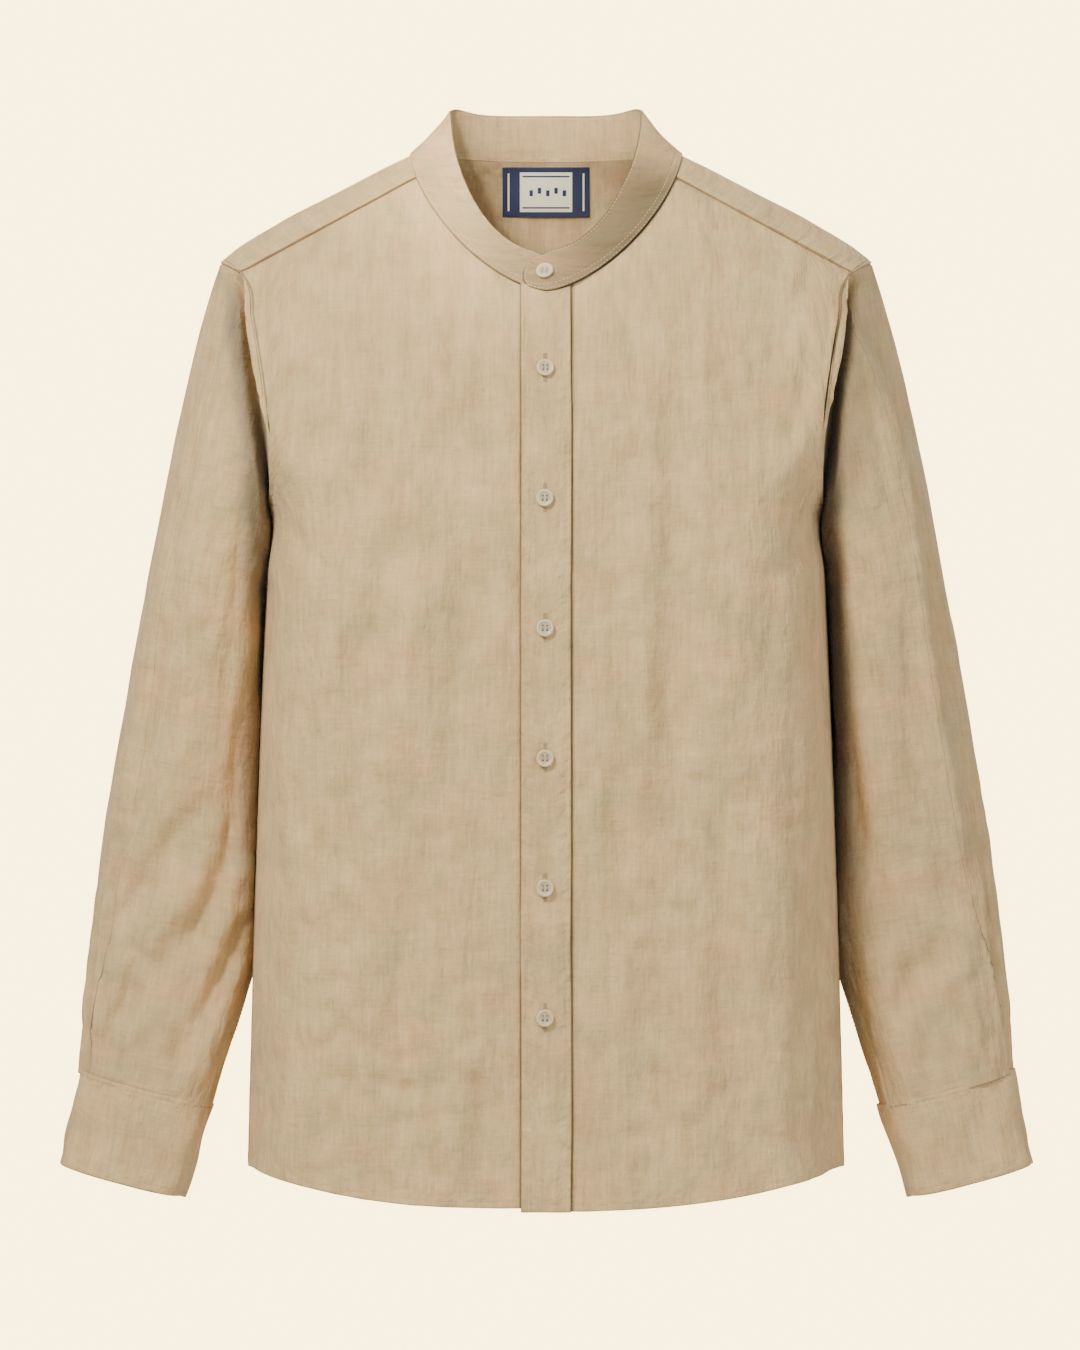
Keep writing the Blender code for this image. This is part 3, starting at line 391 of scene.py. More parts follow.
def lengths(points, axis):
    steps = np.linalg.norm(np.diff(points, axis=axis), axis=-1)
    start = np.zeros_like(np.take(steps, [0], axis=axis))
    return np.concatenate([start, np.cumsum(steps, axis=axis)], axis=axis)


def shell(
    name, points, normals, lift, drop, material,
    closed=False, stitchAway=farAway, grain=None, paintedShade=0.0, shadowLineAway=farAway,
):
    rows, columns = points.shape[:2]
    lift = np.broadcast_to(lift, (rows, columns))[..., None]
    drop = np.broadcast_to(drop, (rows, columns))[..., None]
    outer = points + normals * lift
    inner = points - normals * drop
    wrapped = np.concatenate([points, points[:, :1]], axis=1) if closed else points
    u = lengths(wrapped, 1)
    u = u - u[:, [u.shape[1] // 2]]
    v = lengths(wrapped, 0)
    if grain is not None:
        u, v = grain
    across = columns if closed else columns - 1
    row, column = np.meshgrid(np.arange(rows - 1), np.arange(across), indexing="ij")
    row, column = row.ravel(), column.ravel()
    corners = [(row, column), (row, column + 1), (row + 1, column + 1), (row + 1, column)]
    index = np.stack([r * columns + c % columns for r, c in corners], axis=-1)
    uv = np.stack([np.stack([u[r, c], v[r, c]], axis=-1) for r, c in corners], axis=1)
    below = rows * columns
    faces = [index, index[:, ::-1] + below]
    uvs = [uv, uv[:, ::-1]]
    edges = []
    for r, flip in ((0, True), (rows - 1, False)):
        c = np.arange(across)
        edges.append((np.full(across, r), c, np.full(across, r), c + 1, flip))
    if not closed:
        for c, flip in ((0, False), (columns - 1, True)):
            r = np.arange(rows - 1)
            edges.append((r, np.full(rows - 1, c), r + 1, np.full(rows - 1, c), flip))
    for rowA, columnA, rowB, columnB, flip in edges:
        a = rowA * columns + columnA % columns
        b = rowB * columns + columnB % columns
        rim = np.stack([a, b, b + below, a + below], axis=-1)
        uvA = np.stack([u[rowA, columnA], v[rowA, columnA]], axis=-1)
        uvB = np.stack([u[rowB, columnB], v[rowB, columnB]], axis=-1)
        rimUv = np.stack([uvA, uvB, uvB, uvA], axis=1)
        faces.append(rim[:, ::-1] if flip else rim)
        uvs.append(rimUv[:, ::-1] if flip else rimUv)
    faces = np.concatenate(faces)
    uvs = np.concatenate(uvs)
    verts = np.concatenate([outer.reshape(-1, 3), inner.reshape(-1, 3)])
    mesh = bpy.data.meshes.new(name)
    mesh.vertices.add(len(verts))
    mesh.vertices.foreach_set("co", verts.astype(np.float32).ravel())
    mesh.loops.add(faces.size)
    mesh.loops.foreach_set("vertex_index", faces.astype(np.int32).ravel())
    mesh.polygons.add(len(faces))
    mesh.polygons.foreach_set("loop_start", np.arange(0, faces.size, 4, dtype=np.int32))
    mesh.update(calc_edges=True)
    layer = mesh.uv_layers.new(name="cloth")
    layer.data.foreach_set("uv", uvs.astype(np.float32).ravel())
    sides = ["top", "bottom"] if closed else ["top", "bottom", "left", "right"]
    rimAway = np.min([edgeAway(points, side) for side in sides], axis=0)
    marks = {"stitchAway": stitchAway, "rimAway": rimAway, "paintedShade": paintedShade, "shadowLineAway": shadowLineAway}
    for mark, value in marks.items():
        value = np.broadcast_to(value, (rows, columns)).ravel()
        attribute = mesh.attributes.new(mark, "FLOAT", "POINT")
        attribute.data.foreach_set("value", np.tile(value, 2).astype(np.float32))
    mesh.validate()
    if solidVolume(mesh) < 0:
        mesh.flip_normals()
    return finishPiece(name, mesh, material)


def solidVolume(mesh):
    mesh.calc_loop_triangles()
    points = np.empty(len(mesh.vertices) * 3, np.float32)
    mesh.vertices.foreach_get("co", points)
    corners = np.empty(len(mesh.loop_triangles) * 3, np.int32)
    mesh.loop_triangles.foreach_get("vertices", corners)
    a, b, c = np.moveaxis(points.reshape(-1, 3)[corners.reshape(-1, 3)], 1, 0)
    return float((a * np.cross(b, c)).sum()) / 6


def finishPiece(name, mesh, material):
    mesh.shade_smooth()
    mesh.set_sharp_from_angle(angle=math.radians(50))
    mesh.materials.clear()
    mesh.materials.append(material)
    piece = bpy.data.objects.new(name, mesh)
    bpy.context.scene.collection.objects.link(piece)
    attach(piece, "root")
    return piece


def readAlong(way, values, at):
    return np.stack([np.interp(at, way, values[:, axis]) for axis in range(3)], axis=-1)


def edgeLine(points, normals, edge, distance):
    if edge in ("left", "right"):
        points, normals = points.swapaxes(0, 1), normals.swapaxes(0, 1)
    if edge in ("bottom", "right"):
        points, normals = points[::-1], normals[::-1]
    away = lengths(points, 0)
    columns = range(points.shape[1])
    line = [readAlong(away[:, column], points[:, column], distance) for column in columns]
    facing = [readAlong(away[:, column], normals[:, column], distance) for column in columns]
    return np.array(line), unit(np.array(facing))


def edgeAway(points, edge):
    if edge == "top":
        return lengths(points, 0)
    if edge == "bottom":
        return lengths(points[::-1], 0)[::-1]
    if edge == "left":
        return lengths(points, 1)
    return lengths(points[:, ::-1], 1)[:, ::-1]


def nodeMaker(tree):
    def make(kind, **inputs):
        node = tree.nodes.new(kind)
        for name, value in inputs.items():
            if hasattr(node, name) and not name[0].isupper():
                setattr(node, name, value)
                continue
            socket = node.inputs[int(name[1:])] if name[0] == "I" and name[1:].isdigit() else node.inputs[name]
            if isinstance(value, bpy.types.NodeSocket):
                tree.links.new(value, socket)
            else:
                socket.default_value = value
        return node
    return make


def mathNode(make, operation, a, b=0.0):
    return make("ShaderNodeMath", operation=operation, I0=a, I1=b).outputs[0]


stitchSettings = {
    "length": 0.0021,
    "pitch": 0.0029,
    "width": 0.00040,
    "lift": 0.00008,
    "unevenness": 0.25,
    "sides": 6,
    "rings": 4,
}


def stitchShape():
    mesh = bpy.data.meshes.new("stitchShape")
    build = bmesh.new()
    sides, rings = stitchSettings["sides"], stitchSettings["rings"]
    bmesh.ops.create_uvsphere(build, u_segments=sides, v_segments=rings, radius=1.0)
    build.to_mesh(mesh)
    build.free()
    mesh.shade_smooth()
    return bpy.data.objects.new("stitchShape", mesh)


def stitchGroup(shape):
    group = bpy.data.node_groups.new("stitchRows", "GeometryNodeTree")
    for name, side, kind in (
        ("Geometry", "INPUT", "Geometry"),
        ("Half length", "INPUT", "Float"),
        ("Half width", "INPUT", "Float"),
        ("Unevenness", "INPUT", "Float"),
        ("Seed", "INPUT", "Int"),
        ("Thread", "INPUT", "Material"),
        ("Geometry", "OUTPUT", "Geometry"),
    ):
        group.interface.new_socket(name, in_out=side, socket_type="NodeSocket" + kind)
    make = nodeMaker(group)
    source = make("NodeGroupInput").outputs
    out = make("NodeGroupOutput")
    info = make("GeometryNodeObjectInfo", Object=shape)
    way = make("GeometryNodeInputNamedAttribute", data_type="FLOAT_VECTOR", Name="along")
    turn = make("FunctionNodeAlignRotationToVector", axis="Z", Vector=way.outputs["Attribute"])
    shortest = mathNode(make, "SUBTRACT", 1.0, source["Unevenness"])
    uneven = make("FunctionNodeRandomValue", data_type="FLOAT", Seed=source["Seed"], I2=shortest, I3=1.0)
    halfLength = mathNode(make, "MULTIPLY", source["Half length"], uneven.outputs[1])
    size = make("ShaderNodeCombineXYZ", X=source["Half width"], Y=source["Half width"], Z=halfLength)
    place = make(
        "GeometryNodeInstanceOnPoints",
        Points=source["Geometry"], Instance=info.outputs["Geometry"],
        Rotation=turn.outputs["Rotation"], Scale=size.outputs[0],
    )
    real = make("GeometryNodeRealizeInstances", Geometry=place.outputs["Instances"])
    paint = make("GeometryNodeSetMaterial", Geometry=real.outputs["Geometry"], Material=source["Thread"])
    group.links.new(paint.outputs["Geometry"], out.inputs["Geometry"])
    return group


def stitchPoints(line, facing, pitch=stitchSettings["pitch"], lift=stitchSettings["lift"], start=0.0):
    way = lengths(line, 0)
    count = max(int((way[-1] - 2 * start) / pitch), 1)
    at = start + (np.arange(count) + 0.5) * (way[-1] - 2 * start) / count
    step = 0.0006
    along = unit(readAlong(way, line, at + step) - readAlong(way, line, at - step))
    return readAlong(way, line, at) + unit(readAlong(way, facing, at)) * lift, along


def edgeStitches(points, normals, edge, distance, start=0.0):
    line, facing = edgeLine(points, normals, edge, distance)
    return stitchPoints(line, facing, start=start)


def crossStitches(line, facing, pitch, lift):
    places, along = stitchPoints(line, facing, pitch, lift)
    way = lengths(line, 0)
    at = (np.arange(len(places)) + 0.5) * way[-1] / len(places)
    return places, unit(np.cross(along, readAlong(way, facing, at)))


def stitchPiece(name, rows, group, material, seed, length=stitchSettings["length"], width=stitchSettings["width"]):
    places = np.concatenate([row[0] for row in rows])
    along = np.concatenate([row[1] for row in rows])
    mesh = bpy.data.meshes.new(name)
    mesh.vertices.add(len(places))
    mesh.vertices.foreach_set("co", places.astype(np.float32).ravel())
    attribute = mesh.attributes.new("along", "FLOAT_VECTOR", "POINT")
    attribute.data.foreach_set("vector", along.astype(np.float32).ravel())
    mesh.update()
    holder = bpy.data.objects.new(name + "Points", mesh)
    bpy.context.scene.collection.objects.link(holder)
    modifier = holder.modifiers.new("stitches", "NODES")
    modifier.node_group = group
    values = {
        "Half length": length / 2,
        "Half width": width / 2,
        "Unevenness": stitchSettings["unevenness"],
        "Seed": seed,
        "Thread": material,
    }
    for socket in group.interface.items_tree:
        if socket.in_out == "INPUT" and socket.name in values:
            modifier[socket.identifier] = values[socket.name]
    bpy.context.view_layer.update()
    graph = bpy.context.evaluated_depsgraph_get()
    made = bpy.data.meshes.new_from_object(holder.evaluated_get(graph), depsgraph=graph)
    bpy.data.objects.remove(holder)
    made.name = name
    return finishPiece(name, made, material)


# Materials

def attributeValue(make, name):
    return make("ShaderNodeAttribute", attribute_name=name).outputs["Fac"]


def bellNode(make, away, width, gain):
    share = mathNode(make, "ABSOLUTE", mathNode(make, "DIVIDE", away, width))
    falling = mathNode(make, "MULTIPLY", mathNode(make, "POWER", share, 2.0), -1.0)
    return mathNode(make, "MULTIPLY", mathNode(make, "POWER", math.e, falling), gain)


def mixColour(make, factor, a, b, blend="MIX"):
    node = make("ShaderNodeMix", data_type="RGBA", blend_type=blend)
    for socket, value in ((node.inputs[0], factor), (node.inputs[6], a), (node.inputs[7], b)):
        if isinstance(value, bpy.types.NodeSocket):
            socket.id_data.links.new(value, socket)
        else:
            socket.default_value = value
    return node.outputs[2]


linenSettings = {
    "pale": (0.830, 0.570, 0.270, 1.0),
    "deep": (0.450, 0.285, 0.115, 1.0),
    "green": (0.570, 0.460, 0.210, 1.0),
    "pink": (0.770, 0.455, 0.220, 1.0),
    "hueShare": 0.46,
    "darkest": 0.04,
    # Painted shade along each piece's outline, and painted shadow lines along the pleats and beside the button strip
    "rimWidth": 0.0007,
    "rimPaintedShade": 0.45,
    "shadowLineWidth": 0.0013,
    "shadowLineDim": 0.68,
    "threadPitch": 0.00062,
    "weaveHeight": 0.000015,
    "grooveWidth": 0.0011,
    "grooveDepth": 0.00035,
    "puckerWidth": 0.0065,
    "puckerHeight": 0.0016,
    "roughness": 0.92,
    "specular": 0.18,
    "sheen": 0.12,
    "sheenRoughness": 0.5,
}

# Noises of the cloth: scale across and along, detail, roughness, offset
clothNoises = {
    "warp": (620.0, 55.0, 3.0, 0.5, 0.0),
    "weft": (75.0, 620.0, 3.0, 0.5, 3.1),
    "slubWarp": (290.0, 22.0, 2.0, 0.5, 5.3),
    "slubWeft": (42.0, 290.0, 2.0, 0.5, 7.9),
    "blotch": (75.0, 48.0, 3.0, 0.5, 11.0),
    "cloud": (26.0, 17.0, 3.0, 0.5, 13.0),
    "hue": (22.0, 30.0, 4.0, 0.6, 17.0),
    "streakTall": (80.0, 9.0, 3.0, 0.6, 23.0),
    "streakWide": (9.0, 90.0, 3.0, 0.6, 29.0),
    "micro": (95.0, 70.0, 4.0, 0.55, 31.0),
    "tall": (46.0, 13.0, 4.0, 0.55, 37.0),
    "ripple": (150.0, 150.0, 1.0, 0.5, 41.0),
}
clothTones = {
    "warp": 1.05, "weft": 0.60, "slubWarp": 0.75, "slubWeft": 0.35,
    "blotch": 1.05, "cloud": 1.35, "streakTall": 0.65, "streakWide": 0.20,
}
clothHeights = {
    "warp": 0.00022, "weft": 0.00022, "slubWarp": 0.00028, "slubWeft": 0.00024, "micro": 0.0020, "tall": 0.0046,
}


def clothGroup():
    look = linenSettings
    group = bpy.data.node_groups.new("linenWeave", "ShaderNodeTree")
    for name, start in (("Shade", 1.0), ("Pucker", 1.0), ("Cool", 0.0)):
        group.interface.new_socket(name, in_out="INPUT", socket_type="NodeSocketFloat").default_value = start
    group.interface.new_socket("Color", in_out="OUTPUT", socket_type="NodeSocketColor")
    group.interface.new_socket("Normal", in_out="OUTPUT", socket_type="NodeSocketVector")
    make = nodeMaker(group)
    source = make("NodeGroupInput").outputs
    out = make("NodeGroupOutput")
    place = make("ShaderNodeUVMap", uv_map="cloth").outputs[0]
    noises = {}
    for name, (across, along, detail, roughness, offset) in clothNoises.items():
        start = (offset, offset * 0.7, offset)
        moved = make("ShaderNodeMapping", Vector=place, Scale=(across, along, 1.0), Location=start)
        noise = make("ShaderNodeTexNoise", Vector=moved.outputs[0], Scale=1.0, Detail=detail, Roughness=roughness)
        noises[name] = noise.outputs["Fac"]

    def centred(name, gain):
        return mathNode(make, "MULTIPLY", mathNode(make, "SUBTRACT", noises[name], 0.5), gain)

    total = 0.5
    for name, gain in clothTones.items():
        total = mathNode(make, "ADD", total, centred(name, gain))
    tone = make("ShaderNodeClamp", Value=total).outputs[0]
    base = mixColour(make, tone, look["deep"], look["pale"])
    tint = make("ShaderNodeMapRange", Value=noises["hue"], I1=0.35, I2=0.65).outputs[0]
    tinted = mixColour(make, look["hueShare"], base, mixColour(make, tint, look["green"], look["pink"]))

    # Painted shade: the colour is dimmed by the material's Shade input, along each piece's outline, along painted
    # shadow lines at the pleats and beside the button strip, and where the mesh marks shade deep in folds and on the
    # collar band; in that marked shade it also turns a little cooler
    paintedShade = attributeValue(make, "paintedShade")
    lit = mathNode(make, "MULTIPLY", mathNode(make, "SUBTRACT", 1.0, paintedShade), source["Shade"])
    rimPaintedShade = bellNode(make, attributeValue(make, "rimAway"), look["rimWidth"], look["rimPaintedShade"])
    shadowLineDim = bellNode(make, attributeValue(make, "shadowLineAway"), look["shadowLineWidth"], look["shadowLineDim"])
    flat = mathNode(make, "SUBTRACT", 1.0, shadowLineDim)
    dimmed = mathNode(make, "MULTIPLY", mathNode(make, "SUBTRACT", lit, rimPaintedShade), flat)
    dimmed = mathNode(make, "MAXIMUM", dimmed, look["darkest"])
    bareShare = mathNode(make, "MAXIMUM", mathNode(make, "SUBTRACT", 1.0, paintedShade), 0.5)
    blueShare = mathNode(make, "POWER", bareShare, mathNode(make, "MULTIPLY", source["Cool"], -1.0))
    greenShare = mathNode(make, "POWER", blueShare, 0.33)
    green = mathNode(make, "MULTIPLY", dimmed, greenShare)
    blue = mathNode(make, "MULTIPLY", dimmed, blueShare)
    shade = make("ShaderNodeCombineColor", Red=dimmed, Green=green, Blue=blue)
    group.links.new(mixColour(make, 1.0, tinted, shade.outputs[0], "MULTIPLY"), out.inputs["Color"])

    # Weave, slubs and rumples, with a groove and puckers along each row of stitches
    split = make("ShaderNodeSeparateXYZ", I0=place)
    rate = 2 * math.pi / look["threadPitch"]
    waves = [mathNode(make, "SINE", mathNode(make, "MULTIPLY", split.outputs[axis], rate)) for axis in (0, 1)]
    height = mathNode(make, "MULTIPLY", mathNode(make, "MULTIPLY", *waves), look["weaveHeight"])
    stitchAway = attributeValue(make, "stitchAway")
    near = mathNode(make, "MULTIPLY", bellNode(make, stitchAway, look["puckerWidth"], 1.0), source["Pucker"])
    reliefs = [centred(name, gain) for name, gain in clothHeights.items()]
    reliefs.append(bellNode(make, stitchAway, look["grooveWidth"], -look["grooveDepth"]))
    reliefs.append(mathNode(make, "MULTIPLY", near, centred("ripple", look["puckerHeight"])))
    for relief in reliefs:
        height = mathNode(make, "ADD", height, relief)
    bump = make("ShaderNodeBump", Height=height, Strength=1.0, Distance=1.0)
    group.links.new(bump.outputs[0], out.inputs["Normal"])
    return group


def linenMaterial(name, group, shade, pucker, cool):
    material = bpy.data.materials.new(name)
    material.use_nodes = True
    tree = material.node_tree
    shader = tree.nodes["Principled BSDF"]
    cloth = tree.nodes.new("ShaderNodeGroup")
    cloth.node_tree = group
    for socket, value in (("Shade", shade), ("Pucker", pucker), ("Cool", cool)):
        cloth.inputs[socket].default_value = value
    tree.links.new(cloth.outputs["Color"], shader.inputs["Base Color"])
    tree.links.new(cloth.outputs["Normal"], shader.inputs["Normal"])
    shader.inputs["Roughness"].default_value = linenSettings["roughness"]
    shader.inputs["Specular IOR Level"].default_value = linenSettings["specular"]
    shader.inputs["Sheen Weight"].default_value = linenSettings["sheen"]
    shader.inputs["Sheen Roughness"].default_value = linenSettings["sheenRoughness"]
    return material


def plainMaterial(name, colour, roughness, variation, scale, bumpHeight, specular=0.3):
    material = bpy.data.materials.new(name)
    material.use_nodes = True
    tree = material.node_tree
    make = nodeMaker(tree)
    shader = tree.nodes["Principled BSDF"]
    place = make("ShaderNodeTexCoord").outputs["Object"]
    speck = make("ShaderNodeTexNoise", Vector=place, Scale=scale, Detail=3.0).outputs["Fac"]
    dark = tuple(channel * (1 - variation) for channel in colour[:3]) + (1.0,)
    light = tuple(min(channel * (1 + variation), 1.0) for channel in colour[:3]) + (1.0,)
    tree.links.new(mixColour(make, speck, dark, light), shader.inputs["Base Color"])
    bump = make("ShaderNodeBump", Height=mathNode(make, "MULTIPLY", speck, bumpHeight), Strength=1.0, Distance=1.0)
    tree.links.new(bump.outputs[0], shader.inputs["Normal"])
    shader.inputs["Roughness"].default_value = roughness
    shader.inputs["Specular IOR Level"].default_value = specular
    return material


# Painted shade: the recessed dish in the middle of each button is darker
def buttonMaterial(name, colour, dishShade):
    material = plainMaterial(name, colour, 0.34, 0.10, 160.0, 0.0, 0.5)
    make = nodeMaker(material.node_tree)
    colourInput = material.node_tree.nodes["Principled BSDF"].inputs["Base Color"]
    tone = mathNode(make, "SUBTRACT", 1.0, mathNode(make, "MULTIPLY", attributeValue(make, "dish"), dishShade))
    dimmed = make("ShaderNodeCombineColor", Red=tone, Green=tone, Blue=tone).outputs[0]
    plain = colourInput.links[0].from_socket
    material.node_tree.links.new(mixColour(make, 1.0, plain, dimmed, "MULTIPLY"), colourInput)
    return material


weave = clothGroup()
linen = linenMaterial("linen", weave, 1.0, 1.0, 0.30)
linenPressed = linenMaterial("linenPressed", weave, 0.985, 1.3, 0.0)
# The collar band's linen is the same cloth, 7% darker all over: painted shade
linenShadedBand = linenMaterial("linenShadedBand", weave, 0.93, 1.3, 0.0)
threadPale = plainMaterial("threadPale", (0.78, 0.56, 0.27, 1.0), 0.7, 0.12, 900.0, 0.00005)
threadHole = plainMaterial("threadHole", (0.47, 0.35, 0.19, 1.0), 0.65, 0.12, 900.0, 0.00005)
buttonShell = buttonMaterial("buttonShell", (0.71, 0.58, 0.345, 1.0), 0.22)
labelNavy = plainMaterial("labelNavy", (0.040, 0.046, 0.088, 1.0), 0.7, 0.20, 1400.0, 0.00006)
labelCream = plainMaterial("labelCream", (0.96, 0.88, 0.62, 1.0), 0.75, 0.08, 1400.0, 0.00006)
stitchNodes = stitchGroup(stitchShape())
print("materials done", flush=True)


# Fronts

cloth = {
    "thickness": 0.0009,
    "allowance": 0.0004,
    "armholeStitch": 0.0065,
    "hemStitch": 0.0050,
    "calmStart": 0.005,
    "calmReach": 0.014,
    "endCalm": 0.010,
    "tuckReach": 0.0035,
    "tuckUnder": 0.0009,
    "stitchStart": 0.003,
}

frontSettings = {
    "lapStart": 0.0085,
    "lapEnd": 0.034,
    "lapColumns": 9,
    "neckColumns": 28,
    "seamColumns": 34,
    "upperRows": 54,
    "lowerRows": 124,
    "spread": 0.9,
    "leftLonger": 0.0014,
    "rightLonger": -0.0008,
}


def panelZ(x, top, upper, lower):
    under = np.full_like(x, form["armholeBottomZ"])
    first = top + (under - top) * upper[:, None]
    second = under + (hemZ(x) - under) * lower[:, None]
    return np.concatenate([first, second])


def spreadX(start, share, z, side):
    half = bodyAt("halfWidth", z)
    edge = np.clip(sideX(z, side) / half, -1.0, 1.0)
    begin = np.arcsin(np.clip(start / half, -1.0, 1.0))
    return half * np.sin(begin + (np.arcsin(edge) - begin) * share)


def frontGrid():
    settings = frontSettings
    lap = np.linspace(settings["lapStart"], settings["lapEnd"], settings["lapColumns"])
    neck = np.linspace(turnAtX(settings["lapEnd"]), neckCornerTurn(), settings["neckColumns"] + 1)[1:]
    neckX = neckline(neck)[0]
    edge = armholeX(ringZ(form["frontSeamTurn"]), -1)
    topX = np.concatenate([lap, neckX, np.linspace(neckX[-1], edge, settings["seamColumns"] + 1)[1:]])
    top = np.minimum(neckFrontZ(topX), yokeSeamZ(topX))
    fixed = len(lap)
    shares = np.linspace(0.0, 1.0, len(topX) - fixed + 1)[1:] ** settings["spread"]
    upper = np.linspace(0.0, 1.0, settings["upperRows"])
    lower = np.linspace(0.0, 1.0, settings["lowerRows"] + 1)[1:]
    away = np.concatenate([eased(upper * 1.2), np.ones(len(lower))])[:, None]
    gridZ = panelZ(topX, top, upper, lower)
    gridX = np.repeat(topX[None, :], len(away), axis=0)
    for _ in range(4):
        spread = spreadX(lap[-1], shares[None, :], gridZ[:, fixed:], -1)
        gridX[:, fixed:] = topX[fixed:] + (spread - topX[fixed:]) * away
        gridX[:, -1] = sideX(gridZ[:, -1], -1)
        gridZ = panelZ(gridX[-1], top, upper, lower)
    return gridX, gridZ


# Two more rows at the top, folded under the yoke
def tuckTop(points, normals):
    under = cloth["tuckUnder"]
    near = points[0] - normals[0] * under
    far = points[0] + unit(points[0] - points[1]) * cloth["tuckReach"] - normals[0] * (under + 0.0002)
    return np.concatenate([far[None], near[None], points]), tuckRows(normals)


def tuckRows(values):
    return np.concatenate([values[:1], values[:1], values])


def centreCalm(x):
    return 0.30 + 0.70 * eased((np.abs(x) - 0.016) / 0.030)


def puckered(u, v, away, seed):
    return 0.00035 * softNoise(u, v, 0.007, 0.007, seed) * bell(away, 0.007)


def hangHem(x, z, away):
    share = eased((0.16 - away) / 0.16) ** 1.5
    return share * (0.0035 * softNoise(x, 0 * z, 0.052, 1.0, 71) + 0.0012 * softNoise(x, 0 * z, 0.021, 1.0, 72))


def armholeCalm(awaySide):
    return eased((awaySide - cloth["calmStart"]) / cloth["calmReach"])


# Cloth turned under at the hem and the armhole lifts the face a little
def seamLift(awayHem, awaySide, besideArm=1.0):
    hem = cloth["allowance"] * (1 - eased((awayHem - 0.0045) / 0.0016))
    side = cloth["allowance"] * 1.6 * (1 - eased((awaySide - 0.0062) / 0.002))
    return np.maximum(hem, side * besideArm)


def buildFront(name, sign):
    x, z = frontGrid()
    longer = frontSettings["leftLonger" if sign > 0 else "rightLonger"]
    z = z - longer * (1 - eased((x - 0.020) / 0.110)) * eased((-0.60 - z) / 0.13)
    x = x * sign
    points = bodyPoints(x, z, -1)
    normals = gridNormals(points) * sign
    awaySide = edgeAway(points, "right")
    awayTop = edgeAway(points, "top")
    awayHem = edgeAway(points, "bottom")
    upper = frontSettings["upperRows"]
    besideArm = (np.arange(len(x)) < upper)[:, None]
    stitch = np.abs(awayHem - cloth["hemStitch"])
    stitch = np.where(besideArm, np.minimum(stitch, np.abs(awaySide - cloth["armholeStitch"])), stitch)
    calm = centreCalm(x) * armholeCalm(awaySide) * eased(awayTop / cloth["endCalm"])
    pressed = bodyDrape(x, z, -1) * calm + hangHem(x, z, awayHem) * centreCalm(x) * eased(awaySide / 0.03)
    pressed = pressed + puckered(x, z, stitch, 81)
    pressed = pressed + 0.0010 * bell(awayTop, 0.0035) * (np.abs(x) > form["yokeSeamNeckX"])
    points = points - normals * pressed[..., None]
    points[..., 1] -= 0.0012 * (sign > 0) * (1 - eased((np.abs(x) - 0.018) / 0.03))
    normals = gridNormals(points) * sign
    lift = seamLift(awayHem, awaySide, besideArm)
    outer = points + normals * lift[..., None]
    stitchLines = [
        edgeStitches(outer[:upper], normals[:upper], "right", cloth["armholeStitch"], cloth["stitchStart"]),
        edgeStitches(outer, normals, "bottom", cloth["hemStitch"], cloth["stitchStart"]),
    ]
    grain = [tuckRows(way) for way in grainPlace(x, z, -1)]
    points, normals = tuckTop(points, normals)
    lift = np.pad(lift, [(2, 0), (0, 0)])
    stitch = np.pad(stitch, [(2, 0), (0, 0)], constant_values=farAway)
    # Painted shadow: a dark line on the front beside the button strip's edge, wider on the left front
    besideStrip = (np.abs(tuckRows(x)) - form["stripHalfWidth"] - 0.0004) * (0.9 if sign > 0 else 2.6)
    piece = shell(
        name, points, normals, lift, cloth["thickness"], linen,
        stitchAway=stitch, grain=grain, shadowLineAway=besideStrip,
    )
    return piece, stitchLines


# Back

backSettings = {"halfColumns": 62, "upperRows": 44, "lowerRows": 120}


def backGrid():
    settings = backSettings
    shares = np.linspace(0.0, 1.0, settings["halfColumns"] + 1)
    upper = np.linspace(0.0, 1.0, settings["upperRows"])
    lower = np.linspace(0.0, 1.0, settings["lowerRows"] + 1)[1:]
    gridX = np.repeat(0.2 * shares[None, :], len(upper) + len(lower), axis=0)
    for _ in range(12):
        gridZ = panelZ(gridX[-1], np.full(len(shares), form["yokeBackZ"]), upper, lower)
        gridX = spreadX(0.0, shares[None, :], gridZ, 1)
    left = np.concatenate([-gridX[:, :0:-1], gridX], axis=1)
    return left, np.concatenate([gridZ[:, :0:-1], gridZ], axis=1)


def buildBack():
    x, z = backGrid()
    points = bodyPoints(x, z, 1)
    normals = -gridNormals(points)
    awaySide = np.minimum(edgeAway(points, "left"), edgeAway(points, "right"))
    awayTop = edgeAway(points, "top")
    awayHem = edgeAway(points, "bottom")
    stitch = np.minimum(np.abs(awayHem - cloth["hemStitch"]), np.abs(awaySide - cloth["armholeStitch"]))
    calm = armholeCalm(awaySide) * eased(awayTop / cloth["endCalm"])
    pressed = bodyDrape(x, z, 1) * calm + hangHem(x, z, awayHem) * eased(awaySide / 0.03)
    pressed = pressed + puckered(x, z, stitch, 83)
    points = points - normals * pressed[..., None]
    normals = -gridNormals(points)
    lift = seamLift(awayHem, awaySide)
    outer = points + normals * lift[..., None]
    stitchLines = [
        edgeStitches(outer, normals, edge, distance, cloth["stitchStart"])
        for edge, distance in (
            ("left", cloth["armholeStitch"]), ("right", cloth["armholeStitch"]), ("bottom", cloth["hemStitch"])
        )
    ]
    grain = [tuckRows(way) for way in grainPlace(x, z, 1)]
    points, normals = tuckTop(points, normals)
    lift = np.pad(lift, [(2, 0), (0, 0)])
    stitch = np.pad(stitch, [(2, 0), (0, 0)], constant_values=farAway)
    piece = shell("backPanel", points, normals, lift, cloth["thickness"], linen, stitchAway=stitch, grain=grain)
    return piece, stitchLines


# Yoke

yokeSettings = {
    "neckColumns": 34,
    "seamColumns": 40,
    "frontRows": 16,
    "backRows": 28,
    "endCalm": 0.012,
    "stitch": 0.0016,
    "stitchStart": 0.002,
    "raise": 0.0010,
}

